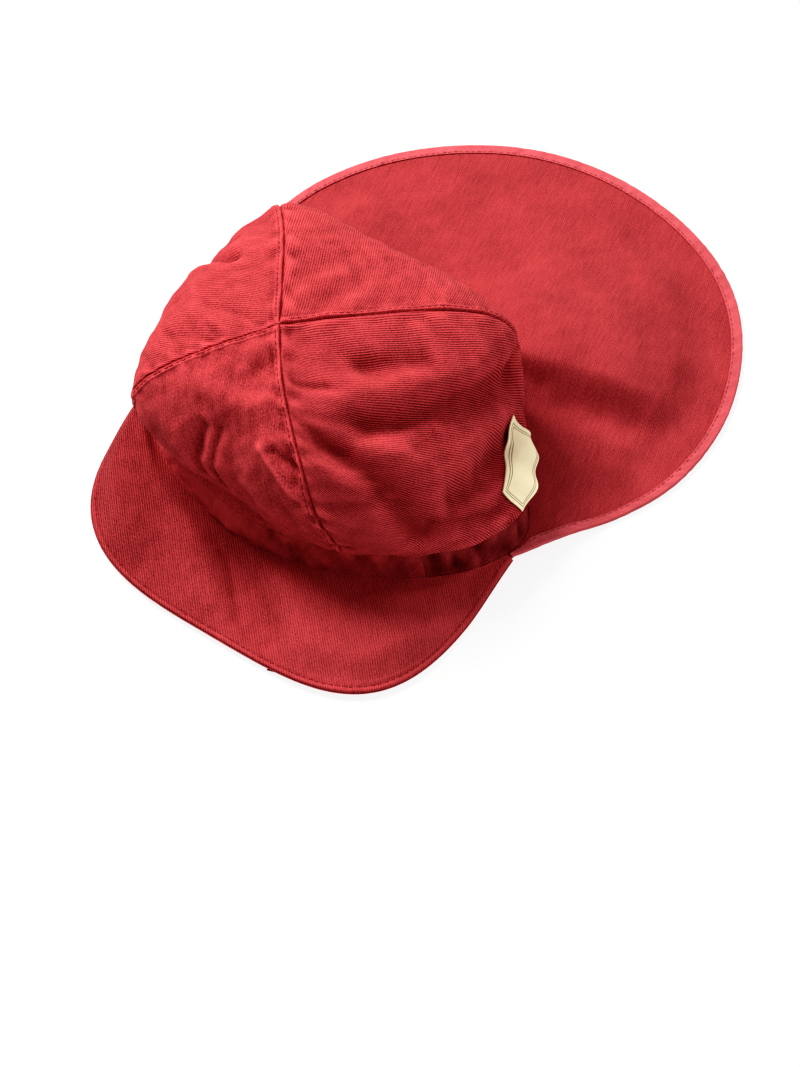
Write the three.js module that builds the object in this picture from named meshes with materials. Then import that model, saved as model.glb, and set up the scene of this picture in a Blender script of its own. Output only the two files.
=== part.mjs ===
import * as THREE from "three";

// A toddler's soft peaked cap with a neck flap, lying open side down on a flat surface.
// Millimetres, +Z up, peak towards -Y, neck flap towards +Y, wearer's left side towards +X.

// Middle of the head opening, measured from the middle of the whole cap's footprint
const HEAD_AT = { x: -12.6, y: -59.65 };

// Cloth thicknesses, and the clearance kept between neighbouring pieces
const CROWN_CLOTH = 1.4;
const BAND_CLOTH = 1.8;
const PEAK_PLY = 1.0;
const FLAP_CLOTH = 1.2;
const BINDING_CLOTH = 1.0;
const LABEL_CLOTH = 1.0;
const TAPE_CLOTH = 1.0;
const GAP = 0.3;
// Clearance between the band and what is sewn round its foot
const BAND_CLEARANCE = GAP + 0.05;

// Closed rings of the headband and crown, from the brow upwards.
// up: height, midX and midY: middle of the ring, halfX and halfY: half its width and length,
// square: 2 is an ellipse and more is squarer, turn: degrees about Z, drop: how far the
// wearer's left side lies below the middle of the ring
const BAND_RINGS = [
  { up: 6.0, midX: 0, midY: 0, halfX: 95, halfY: 59, square: 1.75, turn: 5, drop: 0 },
  { up: 24.0, midX: -1, midY: 0, halfX: 90, halfY: 56, square: 1.75, turn: 6, drop: -1 },
];
const CROWN_RINGS = [
  { up: 24.3, midX: -1, midY: 0, halfX: 90, halfY: 56, square: 1.75, turn: 6, drop: -1 },
  { up: 27, midX: -1, midY: 4, halfX: 93, halfY: 62, square: 1.9, turn: 6, drop: 2 },
  { up: 39, midX: -5, midY: 8, halfX: 86, halfY: 69, square: 2.5, turn: 4, drop: 2 },
  { up: 54, midX: -12, midY: 10, halfX: 75, halfY: 70, square: 3.2, turn: 2, drop: 2 },
  { up: 69, midX: -16, midY: 10, halfX: 66, halfY: 62, square: 3.8, turn: 0, drop: 0 },
  { up: 80, midX: -19, midY: 6, halfX: 50, halfY: 47, square: 3.2, turn: 0, drop: 0 },
  { up: 87, midX: -21, midY: 0, halfX: 27, halfY: 26, square: 2.5, turn: 0, drop: 0 },
  { up: 90, midX: -22, midY: -4, halfX: 1.6, halfY: 1.6, square: 2.0, turn: 0, drop: 0 },
];

// Places where the slumped crown stands out from its rings, across the seams
const CROWN_SWELLS = [
  { bearing: 129, up: 72, spread: 12, height: 14, lift: 6.5 },
  { bearing: 43, up: 59, spread: 9, height: 12, lift: 4.5 },
];

// The four seams of the crown: degrees from the wearer's left at the band, shoulder and top
const SEAMS = {
  left_front: { band: -52, shoulder: -58, top: -60 },
  left_back: { band: 38, shoulder: 43, top: 41 },
  right_back: { band: 144, shoulder: 137, top: 126 },
  right_front: { band: 212, shoulder: 228, top: 236 },
};
const PANELS = [
  { name: "crown_panel_left", from: "left_front", to: "left_back", colour: 0xc2343c },
  { name: "crown_panel_back", from: "left_back", to: "right_back", colour: 0xcc3f46 },
  { name: "crown_panel_right", from: "right_back", to: "right_front", colour: 0xd8484f },
  { name: "crown_panel_front", from: "right_front", to: "left_front", colour: 0xb52f35 },
];
const PANEL_COLUMNS = 14;
const PANEL_ROWS = 16;
const PANEL_LENGTH = 130;
// How much wider a bulging panel is than the straight line between its seams
const PANEL_BULGE = 1.06;
// Folds die away within these distances of a panel's seams, the band and the top
const FOLD_CALM = { seam: 9, band: 12, top: 14 };
// Half the clearance of a seam, as each of its two pieces keeps it
const SEAM_SHARE = GAP * 0.6;

// Dents and folds of the crown cloth on one panel, in millimetres on its surface:
// across is measured from the panel's middle towards the next panel, up from the band
const CROWN_FOLDS = [
  { panel: "crown_panel_left", across: -18, up: 88, acrossEnd: 58, upEnd: 50, width: 8, lift: -7 },
  { panel: "crown_panel_left", across: -10, up: 47, acrossEnd: 34, upEnd: 41, width: 7, lift: -4.5 },
  { panel: "crown_panel_left", across: 22, up: 38, acrossEnd: 46, upEnd: 39, width: 14, lift: -6 },
  { panel: "crown_panel_left", across: -36, up: 84, acrossEnd: -31, upEnd: 42, width: 8, lift: -5.5 },
  { panel: "crown_panel_front", across: -38, up: 16, acrossEnd: -2, upEnd: 26, width: 20, lift: -5 },
  { panel: "crown_panel_front", across: 6, up: 72, acrossEnd: 8, upEnd: 46, width: 9, lift: -2.5 },
  { panel: "crown_panel_front", across: 26, up: 78, acrossEnd: 48, upEnd: 60, width: 9, lift: 2.5 },
  { panel: "crown_panel_right", across: -18, up: 58, acrossEnd: -20, upEnd: 92, width: 5, lift: -6 },
  { panel: "crown_panel_right", across: -32, up: 72, acrossEnd: -40, upEnd: 84, width: 10, lift: -2.5 },
  { panel: "crown_panel_right", across: 30, up: 68, acrossEnd: 42, upEnd: 66, width: 16, lift: -4 },
  { panel: "crown_panel_back", across: 8, up: 100, acrossEnd: -26, upEnd: 98, width: 12, lift: -2.5 },
];

const { PI, abs, cos, sin, min, max, hypot } = Math;
const radians = (degrees) => degrees * PI / 180;
const blend = (a, b, t) => a + (b - a) * t;
const ease = (t) => {
  const k = min(max(t, 0), 1);
  return k * k * (3 - 2 * k);
};

// Smooth curve through the rows of a table, place counting rows from 0
function rowAt(rows, place) {
  const last = rows.length - 1;
  const i = min(max(Math.floor(place), 0), last - 1);
  const t = place - i;
  const row = (k) => rows[min(max(k, 0), last)];
  const out = {};
  for (const key of Object.keys(rows[0])) {
    const [a, b, c, d] = [row(i - 1)[key], row(i)[key], row(i + 1)[key], row(i + 2)[key]];
    out[key] = b + 0.5 * t * (c - a + t * (2 * a - 5 * b + 4 * c - d + t * (3 * (b - c) + d - a)));
  }
  return out;
}

// Distance from a ring's middle to its edge, in one direction
function ringReach(ring, degrees) {
  const a = radians(degrees - ring.turn);
  const p = ring.square;
  return ((abs(cos(a)) / ring.halfX) ** p + (abs(sin(a)) / ring.halfY) ** p) ** (-1 / p);
}

function ringPoint(ring, degrees, inwards = 0) {
  const a = radians(degrees);
  const r = ringReach(ring, degrees) - inwards;
  return new THREE.Vector3(ring.midX + r * cos(a), ring.midY + r * sin(a), ring.up - ring.drop * cos(a));
}

// Closed solid between an outer and an inner grid of points
function wall(name, columns, rows, outer, inner, colour) {
  const points = [];
  const faces = [];
  const stride = rows + 1;
  const layer = (columns + 1) * stride;
  for (const side of [outer, inner]) {
    for (let i = 0; i <= columns; i += 1) {
      for (let j = 0; j <= rows; j += 1) {
        const p = side(i / columns, j / rows);
        points.push(p.x + HEAD_AT.x, p.y + HEAD_AT.y, p.z);
      }
    }
  }
  const quad = (a, b, c, d) => faces.push(a, b, c, a, c, d);
  const out = (i, j) => i * stride + j;
  const back = (i, j) => layer + i * stride + j;
  for (let i = 0; i < columns; i += 1) {
    for (let j = 0; j < rows; j += 1) {
      quad(out(i, j), out(i + 1, j), out(i + 1, j + 1), out(i, j + 1));
      quad(back(i, j), back(i, j + 1), back(i + 1, j + 1), back(i + 1, j));
    }
    quad(out(i, 0), back(i, 0), back(i + 1, 0), out(i + 1, 0));
    quad(out(i, rows), out(i + 1, rows), back(i + 1, rows), back(i, rows));
  }
  for (let j = 0; j < rows; j += 1) {
    quad(out(0, j), out(0, j + 1), back(0, j + 1), back(0, j));
    quad(out(columns, j), back(columns, j), back(columns, j + 1), out(columns, j + 1));
  }
  return solid(name, points, faces, colour);
}

function solid(name, points, faces, colour) {
  const geometry = new THREE.BufferGeometry();
  geometry.setAttribute("position", new THREE.Float32BufferAttribute(points, 3));
  geometry.setIndex(faces);
  geometry.computeVertexNormals();
  const material = new THREE.MeshStandardMaterial({ color: colour, roughness: 0.9 });
  const mesh = new THREE.Mesh(geometry, material);
  mesh.name = name;
  return mesh;
}

// Height added by a table of folds at one place on a cloth; far, where a fold has it, is its
// width on the left side of its line
function foldLift(folds, across, up) {
  let lift = 0;
  for (const fold of folds) {
    const dx = fold.acrossEnd - fold.across;
    const dy = fold.upEnd - fold.up;
    const length = hypot(dx, dy);
    const along = ((across - fold.across) * dx + (up - fold.up) * dy) / length;
    const aside = ((up - fold.up) * dx - (across - fold.across) * dy) / length;
    const beyond = along - min(max(along, 0), length);
    const far = fold.far ?? fold.width;
    const d = hypot(aside / (aside > 0 ? far : fold.width), 2 * beyond / (far + fold.width));
    lift += fold.lift * Math.exp(-(d ** 2));
  }
  return lift;
}

// Crown panels
function seamAngle(seam, t) {
  const rows = [{ at: seam.band }, { at: seam.shoulder }, { at: seam.top }];
  return rowAt(rows, 2 * t).at;
}

function crownSwell(degrees, up) {
  let lift = 0;
  for (const swell of CROWN_SWELLS) {
    const around = (degrees - swell.bearing) / swell.spread;
    const above = (up - swell.up) / swell.height;
    lift += swell.lift * Math.exp(-(around ** 2) - above ** 2);
  }
  return lift;
}

function crownSurface({ name, from, to }) {
  const top = CROWN_RINGS.length - 1;
  const folds = CROWN_FOLDS.filter((fold) => fold.panel === name);
  const base = (s, t) => {
    const ring = rowAt(CROWN_RINGS, t * top);
    let first = seamAngle(SEAMS[from], t);
    let last = seamAngle(SEAMS[to], t);
    if (last < first) last += 360;
    first += SEAM_SHARE / ringReach(ring, first) * 180 / PI;
    last -= SEAM_SHARE / ringReach(ring, last) * 180 / PI;
    const degrees = blend(first, last, s);
    return ringPoint(ring, degrees, -crownSwell(degrees, ring.up));
  };
  const outward = (s, t) => {
    const e = 0.004;
    const along = base(s + e, t).sub(base(s - e, t));
    const climb = base(s, min(t + e, 1)).sub(base(s, max(t - e, 0)));
    return along.cross(climb).normalize();
  };
  const width = (t) => base(0, t).distanceTo(base(1, t)) * PANEL_BULGE;
  const place = (s, t, depth) => {
    const across = (s - 0.5) * width(t);
    const up = t * PANEL_LENGTH;
    const margin = min(s, 1 - s) * width(t);
    const calm = ease(margin / FOLD_CALM.seam) * ease(up / FOLD_CALM.band)
      * ease((PANEL_LENGTH - up) / FOLD_CALM.top);
    const lift = foldLift(folds, across, up) * calm;
    return base(s, t).addScaledVector(outward(s, t), lift - depth);
  };
  return { place, width };
}

function crownPanel(panel) {
  const { place } = crownSurface(panel);
  return wall(panel.name, PANEL_COLUMNS, PANEL_ROWS, (s, t) => place(s, t, 0),
    (s, t) => place(s, t, CROWN_CLOTH), panel.colour);
}

// Headband: a plain front strip, and a back strip drawn in by elastic
const BAND_JOIN = { left: -25, right: 200 };
const GATHER_PITCH = 9;
const GATHER_DEPTH = 1.0;
const BAND_MEAN_RADIUS = 76;
const BAND_FRONT_COLUMNS = 28;
const BAND_FRONT_ROWS = 3;
const BAND_BACK_ROWS = 1;
const GATHER_STEPS = 4;

function bandRow(t) {
  const [low, high] = BAND_RINGS;
  const row = {};
  for (const key of Object.keys(low)) row[key] = blend(low[key], high[key], t);
  return row;
}

function bandStrip(name, from, to, columns, rows, dip, colour) {
  const margin = SEAM_SHARE / BAND_RINGS[0].halfY * 180 / PI;
  const place = (s, t, depth) =>
    ringPoint(bandRow(t), blend(from + margin, to - margin, s), dip(s, t) + depth);
  return wall(name, columns, rows, (s, t) => place(s, t, 0), (s, t) => place(s, t, BAND_CLOTH), colour);
}

// Peak: two plies with one rounded outline; where it is shallower than hangDepth, at its ends, its
// edge stays up with the band and doesn't lie on the surface. sag: how far its fall from band to
// edge is curved, underExtra: how far the under ply shows past the upper one
const PEAK = {
  halfWidth: 95, depth: 103.4, squareLeft: 4, squareRight: 3, seamUp: 8.2, edgeLift: 1.8,
  endLeft: -2, endRight: 187, hangDepth: 26, leastDepth: 1.2, sag: 0.6, underExtra: 0.6,
};
// The front of the edge lifts as its direction turns forwards, from and over these sines
const PEAK_FRONT = { from: 0.35, over: 0.5 };
// Its buckles die away within these shares of its depth at the band and at the edge
const PEAK_CALM = { band: 0.25, edge: 0.4 };
const PEAK_COLUMNS = 32;
const PEAK_ROWS = 7;
// Buckles of the peak in millimetres from the head opening's middle
const PEAK_FOLDS = [
  { across: -14, up: -62, acrossEnd: 26, upEnd: -94, width: 12, lift: -2.2 },
  { across: -78, up: -58, acrossEnd: -70, upEnd: -80, width: 28, lift: 7 },
  { across: 82, up: -68, acrossEnd: 92, upEnd: -92, width: 28, lift: 6.5 },
];

function peakReach(degrees) {
  const a = radians(degrees);
  const p = cos(a) > 0 ? PEAK.squareLeft : PEAK.squareRight;
  return ((abs(cos(a)) / PEAK.halfWidth) ** p + (abs(sin(a)) / PEAK.depth) ** p) ** (-1 / p);
}

function peakPly(name, below, extra, colour) {
  const span = PEAK.endRight - 360 - PEAK.endLeft;
  const stack = 2 * PEAK_PLY + GAP;
  const place = (s, w, depth) => {
    const degrees = PEAK.endLeft + span * s;
    const a = radians(degrees);
    const inside = ringReach(BAND_RINGS[0], degrees) + BAND_CLEARANCE;
    const outside = max(peakReach(degrees), inside + PEAK.leastDepth);
    const r = blend(inside, outside + extra, w);
    const x = r * cos(a);
    const y = r * sin(a);
    const k = min((r - inside) / (outside - inside), 1);
    const front = ease((-sin(a) - PEAK_FRONT.from) / PEAK_FRONT.over);
    const calm = ease(k / PEAK_CALM.band) * ease((1 - k) / PEAK_CALM.edge);
    const lying = ease((outside - inside) / PEAK.hangDepth);
    const edge = blend(PEAK.seamUp, stack + PEAK.edgeLift * front, lying);
    const fall = blend(k, ease(k), PEAK.sag);
    const up = blend(PEAK.seamUp, edge, fall) + foldLift(PEAK_FOLDS, x, y) * calm;
    return new THREE.Vector3(x, y, up - below - depth);
  };
  return wall(name, PEAK_COLUMNS, PEAK_ROWS, (s, w) => place(s, w, 0),
    (s, w) => place(s, w, PEAK_PLY), colour);
}

// Neck flap: outline by bearing from straight back (degrees towards the wearer's left)
// and reach from the middle of the head opening
const FLAP_OUTLINE = [
  { bearing: 91.5, reach: 94 },
  { bearing: 76, reach: 115 },
  { bearing: 60, reach: 156.5 },
  { bearing: 44, reach: 191.5 },
  { bearing: 28, reach: 217.3 },
  { bearing: 12, reach: 226 },
  { bearing: -4, reach: 222.6 },
  { bearing: -20, reach: 204.5 },
  { bearing: -36, reach: 177.5 },
  { bearing: -52, reach: 143 },
  { bearing: -68, reach: 115 },
  { bearing: -84, reach: 99 },
  { bearing: -96, reach: 95.5 },
];
const FLAP_COLUMNS = 44;
const FLAP_ROWS = 11;
const FLAP_SEAM_UP = 7.2;
const FLAP_LEAST_DEPTH = 0.8;
// The flap comes down from the band within this distance
const FLAP_FALL = 40;
// The flap's edge lies flat over this width
const FLAP_FLAT_EDGE = 13;
// Its folds die away within this share of its depth at the band, and this distance at the edge
const FLAP_CALM = { band: 0.2, edge: 24 };
const FLAP_FOLDS = [
  { across: 45, up: 89, acrossEnd: 76, upEnd: 97.5, width: 12, lift: 19, far: 62 },
  { across: 65, up: 69, acrossEnd: 110, upEnd: 79, width: 8, lift: 2.5, far: 10 },
  { across: 60, up: 50, acrossEnd: 105, upEnd: 62, width: 14, lift: 2.5 },
  { across: 20, up: 110, acrossEnd: 60, upEnd: 170, width: 26, lift: 2.5 },
  { across: -50, up: 90, acrossEnd: -75, upEnd: 130, width: 20, lift: 4 },
];
const FLAP_EDGE_UP = FLAP_CLOTH / 2 + GAP + BINDING_CLOTH;

function flapMid(s, w) {
  const row = rowAt(FLAP_OUTLINE, s * (FLAP_OUTLINE.length - 1));
  const degrees = 90 - row.bearing;
  const a = radians(degrees);
  const inside = ringReach(BAND_RINGS[0], degrees) + BAND_CLEARANCE;
  const outside = row.reach - GAP - BINDING_CLOTH;
  const r = blend(inside, max(outside, inside + FLAP_LEAST_DEPTH), w);
  const x = r * cos(a);
  const y = r * sin(a);
  const calm = ease(w / FLAP_CALM.band) * ease((outside - r - FLAP_FLAT_EDGE) / FLAP_CALM.edge);
  const slope = ease((r - inside) / FLAP_FALL);
  const up = blend(FLAP_SEAM_UP, FLAP_EDGE_UP, slope) + foldLift(FLAP_FOLDS, x, y) * calm;
  return { x, y, up, depth: outside - inside };
}

function flapSheet(name, colour) {
  const place = (s, w, side) => {
    const p = flapMid(s, w);
    return new THREE.Vector3(p.x, p.y, p.up + side * FLAP_CLOTH / 2);
  };
  return wall(name, FLAP_COLUMNS, FLAP_ROWS, (s, w) => place(1 - s, w, 1),
    (s, w) => place(1 - s, w, -1), colour);
}

// Bias binding folded over the free edge of the flap
const BINDING_WIDTH = 6;
// At the flap's narrow ends its arms cover this share of the depth left, and no less than least
const BINDING_ARM = { share: 0.7, least: 0.6, leastDepth: 0.81 };
// Its fold is flat over twice this height, and turns in this far out from the cloth's edge
const BINDING_FOLD = { flat: 0.9, turn: 0.4 };
const BINDING_COLUMNS = 56;

function flapBinding(name, colour) {
  const near = FLAP_CLOTH / 2 + GAP;
  const far = near + BINDING_CLOTH;
  const points = [];
  const faces = [];
  const sections = [];
  for (let i = 0; i <= BINDING_COLUMNS; i += 1) {
    const s = i / BINDING_COLUMNS;
    const edge = flapMid(s, 1);
    const room = max(edge.depth * BINDING_ARM.share, BINDING_ARM.least);
    const arm = min(BINDING_WIDTH - GAP - BINDING_CLOTH, room);
    const depth = max(edge.depth, BINDING_ARM.leastDepth);
    const inner = flapMid(s, 1 - arm / depth);
    const half = flapMid(s, 1 - arm / 2 / depth);
    const away = new THREE.Vector2(edge.x - inner.x, edge.y - inner.y).normalize();
    const at = (p, out, lift) => [p.x + away.x * out, p.y + away.y * out, p.up + lift];
    sections.push([
      at(inner, 0, far), at(half, 0, far), at(edge, BINDING_FOLD.turn, far),
      at(edge, GAP + BINDING_CLOTH, BINDING_FOLD.flat), at(edge, GAP + BINDING_CLOTH, -BINDING_FOLD.flat),
      at(edge, BINDING_FOLD.turn, -far), at(half, 0, -far), at(inner, 0, -far),
      at(inner, 0, -near), at(half, 0, -near), at(edge, GAP, -near),
      at(edge, GAP, near), at(half, 0, near), at(inner, 0, near),
    ]);
  }
  const n = sections[0].length;
  for (const section of sections) {
    for (const [x, y, z] of section) points.push(x + HEAD_AT.x, y + HEAD_AT.y, z);
  }
  for (let i = 0; i < BINDING_COLUMNS; i += 1) {
    for (let k = 0; k < n; k += 1) {
      const [a, b] = [i * n + k, i * n + (k + 1) % n];
      faces.push(a, b, b + n, a, b + n, a + n);
    }
  }
  // Ends of the folded tape, as strips between its outer and inner outline
  for (const [start, flip] of [[0, false], [BINDING_COLUMNS * n, true]]) {
    for (let k = 0; k < n / 2 - 1; k += 1) {
      const ring = [start + k, start + k + 1, start + n - 2 - k, start + n - 1 - k];
      const [a, b, c, d] = flip ? ring : ring.reverse();
      faces.push(a, b, c, a, c, d);
    }
  }
  return solid(name, points, faces, colour);
}

// Woven label on the crown's left side: the ends of its lower and upper edges on that panel, its
// stand-off from the cloth, and its wave; held is how far the upper edge's front end is kept flat
const LABEL_EDGES = {
  low: { panel: "crown_panel_left", across: 12, up: 20.5, acrossEnd: 43, upEnd: 22 },
  top: { panel: "crown_panel_left", across: 11, up: 36, acrossEnd: 41, upEnd: 45.5 },
};
const LABEL_STAND = 0.9;
const LABEL_WAVE = { height: 1.1, count: 2.3, phase: -2.76, held: 0.7 };
const LABEL_COLUMNS = 16;
const LABEL_ROWS = 5;

function labelStrip(name, colour) {
  const { low, top } = LABEL_EDGES;
  const { place, width } = crownSurface(PANELS.find((panel) => panel.name === low.panel));
  const lay = (s, t, depth) => {
    const across = blend(blend(low.across, low.acrossEnd, s), blend(top.across, top.acrossEnd, s), t);
    const up = blend(blend(low.up, low.upEnd, s), blend(top.up, top.upEnd, s), t) / PANEL_LENGTH;
    const ripple = 1 + sin(2 * PI * LABEL_WAVE.count * s + LABEL_WAVE.phase);
    const loose = 1 - LABEL_WAVE.held * t * (1 - s);
    const stand = LABEL_STAND + LABEL_WAVE.height * ripple * loose;
    return place(0.5 + across / width(up), up, depth - stand - LABEL_CLOTH);
  };
  return wall(name, LABEL_COLUMNS, LABEL_ROWS, (s, t) => lay(s, t, 0),
    (s, t) => lay(s, t, LABEL_CLOTH), colour);
}

// Narrow cloth tape lying under the peak, its cut end just past the peak's edge
const TAPE = { startX: 25, startY: -57, endX: 38.6, endY: -102, width: 8, columns: 2, rows: 6 };

function tapeEnd(name, colour) {
  const along = new THREE.Vector2(TAPE.endX - TAPE.startX, TAPE.endY - TAPE.startY).normalize();
  const place = (s, t, up) => new THREE.Vector3(
    blend(TAPE.startX, TAPE.endX, t) - along.y * (s - 0.5) * TAPE.width,
    blend(TAPE.startY, TAPE.endY, t) + along.x * (s - 0.5) * TAPE.width, up);
  return wall(name, TAPE.columns, TAPE.rows, (s, t) => place(1 - s, t, TAPE_CLOTH),
    (s, t) => place(1 - s, t, 0), colour);
}

const cap = new THREE.Group();
cap.name = "peaked_cap";
for (const panel of PANELS) cap.add(crownPanel(panel));
cap.add(bandStrip("band_front", BAND_JOIN.right - 360, BAND_JOIN.left, BAND_FRONT_COLUMNS, BAND_FRONT_ROWS,
  () => 0, 0x8e1c22));
const backSpan = BAND_JOIN.right - BAND_JOIN.left;
const gathers = Math.round(radians(backSpan) * BAND_MEAN_RADIUS / GATHER_PITCH);
cap.add(bandStrip("band_back", BAND_JOIN.left, BAND_JOIN.right, gathers * GATHER_STEPS, BAND_BACK_ROWS,
  (s) => GATHER_DEPTH * (0.5 - 0.5 * cos(2 * PI * gathers * s)), 0x7a141a));
cap.add(peakPly("peak_top", 0, 0, 0xa82a30));
cap.add(peakPly("peak_under", PEAK_PLY + GAP, PEAK.underExtra, 0x7d181d));
cap.add(flapSheet("neck_flap", 0xc23239));
cap.add(flapBinding("flap_binding", 0xf0565c));
cap.add(labelStrip("label", 0xf2e7c8));
cap.add(tapeEnd("tape_end", 0x701418));

export default cap;
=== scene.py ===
"""Red cotton twill sun cap: fine cloth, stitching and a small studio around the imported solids."""
from collections import namedtuple
from functools import partial, reduce

import bpy
import numpy as np
from bpy.props import FloatProperty, FloatVectorProperty, PointerProperty
from mathutils import Matrix, Vector


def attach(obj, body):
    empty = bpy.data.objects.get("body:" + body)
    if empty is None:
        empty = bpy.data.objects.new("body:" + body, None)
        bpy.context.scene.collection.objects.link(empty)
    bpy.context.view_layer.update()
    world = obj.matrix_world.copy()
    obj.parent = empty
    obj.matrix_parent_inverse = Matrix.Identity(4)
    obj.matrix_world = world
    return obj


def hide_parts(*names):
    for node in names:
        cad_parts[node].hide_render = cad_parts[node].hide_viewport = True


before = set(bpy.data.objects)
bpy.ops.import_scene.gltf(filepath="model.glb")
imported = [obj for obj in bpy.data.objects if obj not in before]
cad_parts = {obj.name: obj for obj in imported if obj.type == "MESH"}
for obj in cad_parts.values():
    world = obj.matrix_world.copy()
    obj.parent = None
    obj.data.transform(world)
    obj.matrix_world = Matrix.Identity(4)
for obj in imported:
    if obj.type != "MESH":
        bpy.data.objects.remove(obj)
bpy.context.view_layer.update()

bl_info = {
    "name": "Cotton Sun Cap",
    "version": (1, 0, 0),
    "blender": (4, 5, 0),
    "location": "View3D > Sidebar > Sun Cap",
    "description": "Makes the cloth, stitches and stage of a peaked cap with a neck flap",
    "category": "Object",
}

# Sizes below are in millimetres from the middle of the head opening, on the surface it lies on:
# +Z up, peak towards -Y, neck flap towards +Y, wearer's left towards +X
MM = 0.001
HEAD_AT = np.array([-12.6, -59.65, 0.0])
BODY = "root"

Ring = namedtuple("Ring", "up mid_x mid_y half_x half_y square turn drop")
BAND_RINGS = [
    Ring(6.0, 0, 0, 95, 59, 1.75, 5, 0),
    Ring(24.0, -1, 0, 90, 56, 1.75, 6, -1),
]
CROWN_RINGS = [
    Ring(24.3, -1, 0, 90, 56, 1.75, 6, -1),
    Ring(27, -1, 4, 93, 62, 1.9, 6, 2),
    Ring(39, -5, 8, 86, 69, 2.5, 4, 2),
    Ring(54, -12, 10, 75, 70, 3.2, 2, 2),
    Ring(69, -16, 10, 66, 62, 3.8, 0, 0),
    Ring(80, -19, 6, 50, 47, 3.2, 0, 0),
    Ring(87, -21, 0, 27, 26, 2.5, 0, 0),
    Ring(90, -22, -4, 0.2, 0.2, 2.0, 0, 0),
]

# Places where the slumped crown, or the band, stands out from its rings
Swell = namedtuple("Swell", "bearing up spread height lift")
CROWN_SWELLS = [Swell(129, 72, 12, 14, 6.5), Swell(43, 59, 9, 12, 4.5)]
BAND_SWELLS = [Swell(-109, 13, 10, 9, 1.8)]

# Bearings of the crown's seams in degrees from the wearer's left, and how far in they are topstitched
Seam = namedtuple("Seam", "band shoulder top stitch_in")
SEAMS = {
    "left_front": Seam(-52, -58, -60, 2.1),
    "left_back": Seam(38, 43, 41, 1.8),
    "right_back": Seam(144, 137, 126, 2.1),
    "right_front": Seam(212, 228, 236, 1.5),
}
GROOVE_DEPTH = 0.75
GROOVE_WIDTH = 0.5
# The welt of turned-in cloth rises from the groove and falls again beyond the topstitching
WELT_HEIGHT = 0.6
WELT_RISE = 0.7
WELT_PAST_STITCH = 0.6
WELT_FALL = 1.3
STITCH_DENT = 0.28
STITCH_DENT_WIDTH = 0.45
PUCKER_HEIGHT = 0.30
PUCKER_PITCH = 7.5
PUCKER_STRETCH = 0.4
PUCKER_START = 1.5
PUCKER_REACH = 5
# The seams fade out near the top, within a height and down to a share
SEAM_FADE_HEIGHT = 4
SEAM_FADE_LEAST = 0.3
# The crown's lower edge stands out a little over the band
CROWN_LIP = 0.5
CROWN_LIP_WIDTH = 1.2
# raised: the seams whose turned-in cloth lies under this panel, so that it stands up there;
# rib_turn: direction of its twill ribs in degrees; rib_depth and mottle: how strongly they show
Panel = namedtuple("Panel", "name first last raised rib_turn rib_depth mottle")
PANELS = [
    Panel("crown_panel_left", "left_front", "left_back", (), 130, 1.5, 0.55),
    Panel("crown_panel_back", "left_back", "right_back", ("left_back",), 119, 0.9, 0.55),
    Panel("crown_panel_right", "right_back", "right_front", ("right_back",), 116, 1.2, 0.55),
    Panel("crown_panel_front", "right_front", "left_front", ("right_front", "left_front"), 112, 0.3, 0.8),
]
PANEL_LENGTH = 130
PANEL_BULGE = 1.06
NORMAL_STEP = 0.004
# How far round a place its height is compared with, for wear on what stands out and painted shade in what
# lies lower
WEAR_AND_SHADE_REACH = 2.2

# Random waviness of a cloth
Crumple = namedtuple("Crumple", "height size seed")
CROWN_CRUMPLES = [Crumple(0.30, 19, 1), Crumple(0.10, 8, 2)]
BAND_CRUMPLES = [Crumple(0.3, 14, 31), Crumple(0.1, 6, 32)]
GATHER_CRUMPLES = [Crumple(0.35, 5, 33)]
PEAK_CRUMPLES = [Crumple(0.22, 26, 51), Crumple(0.08, 9, 52)]
PEAK_PUCKERS = [Crumple(0.12, 5, 53)]
FLAP_CRUMPLES = [Crumple(0.35, 34, 71), Crumple(0.10, 12, 72)]
BINDING_CRUMPLES = [Crumple(0.16, 7, 81), Crumple(0.1, 3.6, 82)]
CRUMPLE_WAVES = 14
CRUMPLE_SPREAD = (0.75, 1.4)

# Dents and folds along a line on a cloth; power 2 is a soft roll and less is a sharper crease,
# and far is the width on the line's left side where that differs
Fold = namedtuple("Fold", "across up across_end up_end width lift power far", defaults=(2.0, 0.0))
CROWN_FOLDS = {
    "crown_panel_left": [
        Fold(-18, 88, 54, 52, 7.5, -7),
        Fold(-10, 47, 34, 41, 6, -5.5),
        Fold(22, 38, 46, 39, 14, -6),
        Fold(-36, 84, -30, 40, 7.5, -7.5),
    ],
    "crown_panel_front": [
        Fold(-38, 16, -2, 26, 20, -5),
        Fold(6, 72, 8, 46, 9, -2.5),
        Fold(26, 78, 48, 60, 9, 2.5),
    ],
    "crown_panel_right": [
        Fold(-18, 58, -20, 92, 5, -6),
        Fold(-32, 72, -40, 84, 10, -2.5),
        Fold(30, 68, 42, 66, 16, -4),
    ],
    "crown_panel_back": [
        Fold(8, 100, -26, 98, 12, -2.5),
    ],
}
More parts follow.
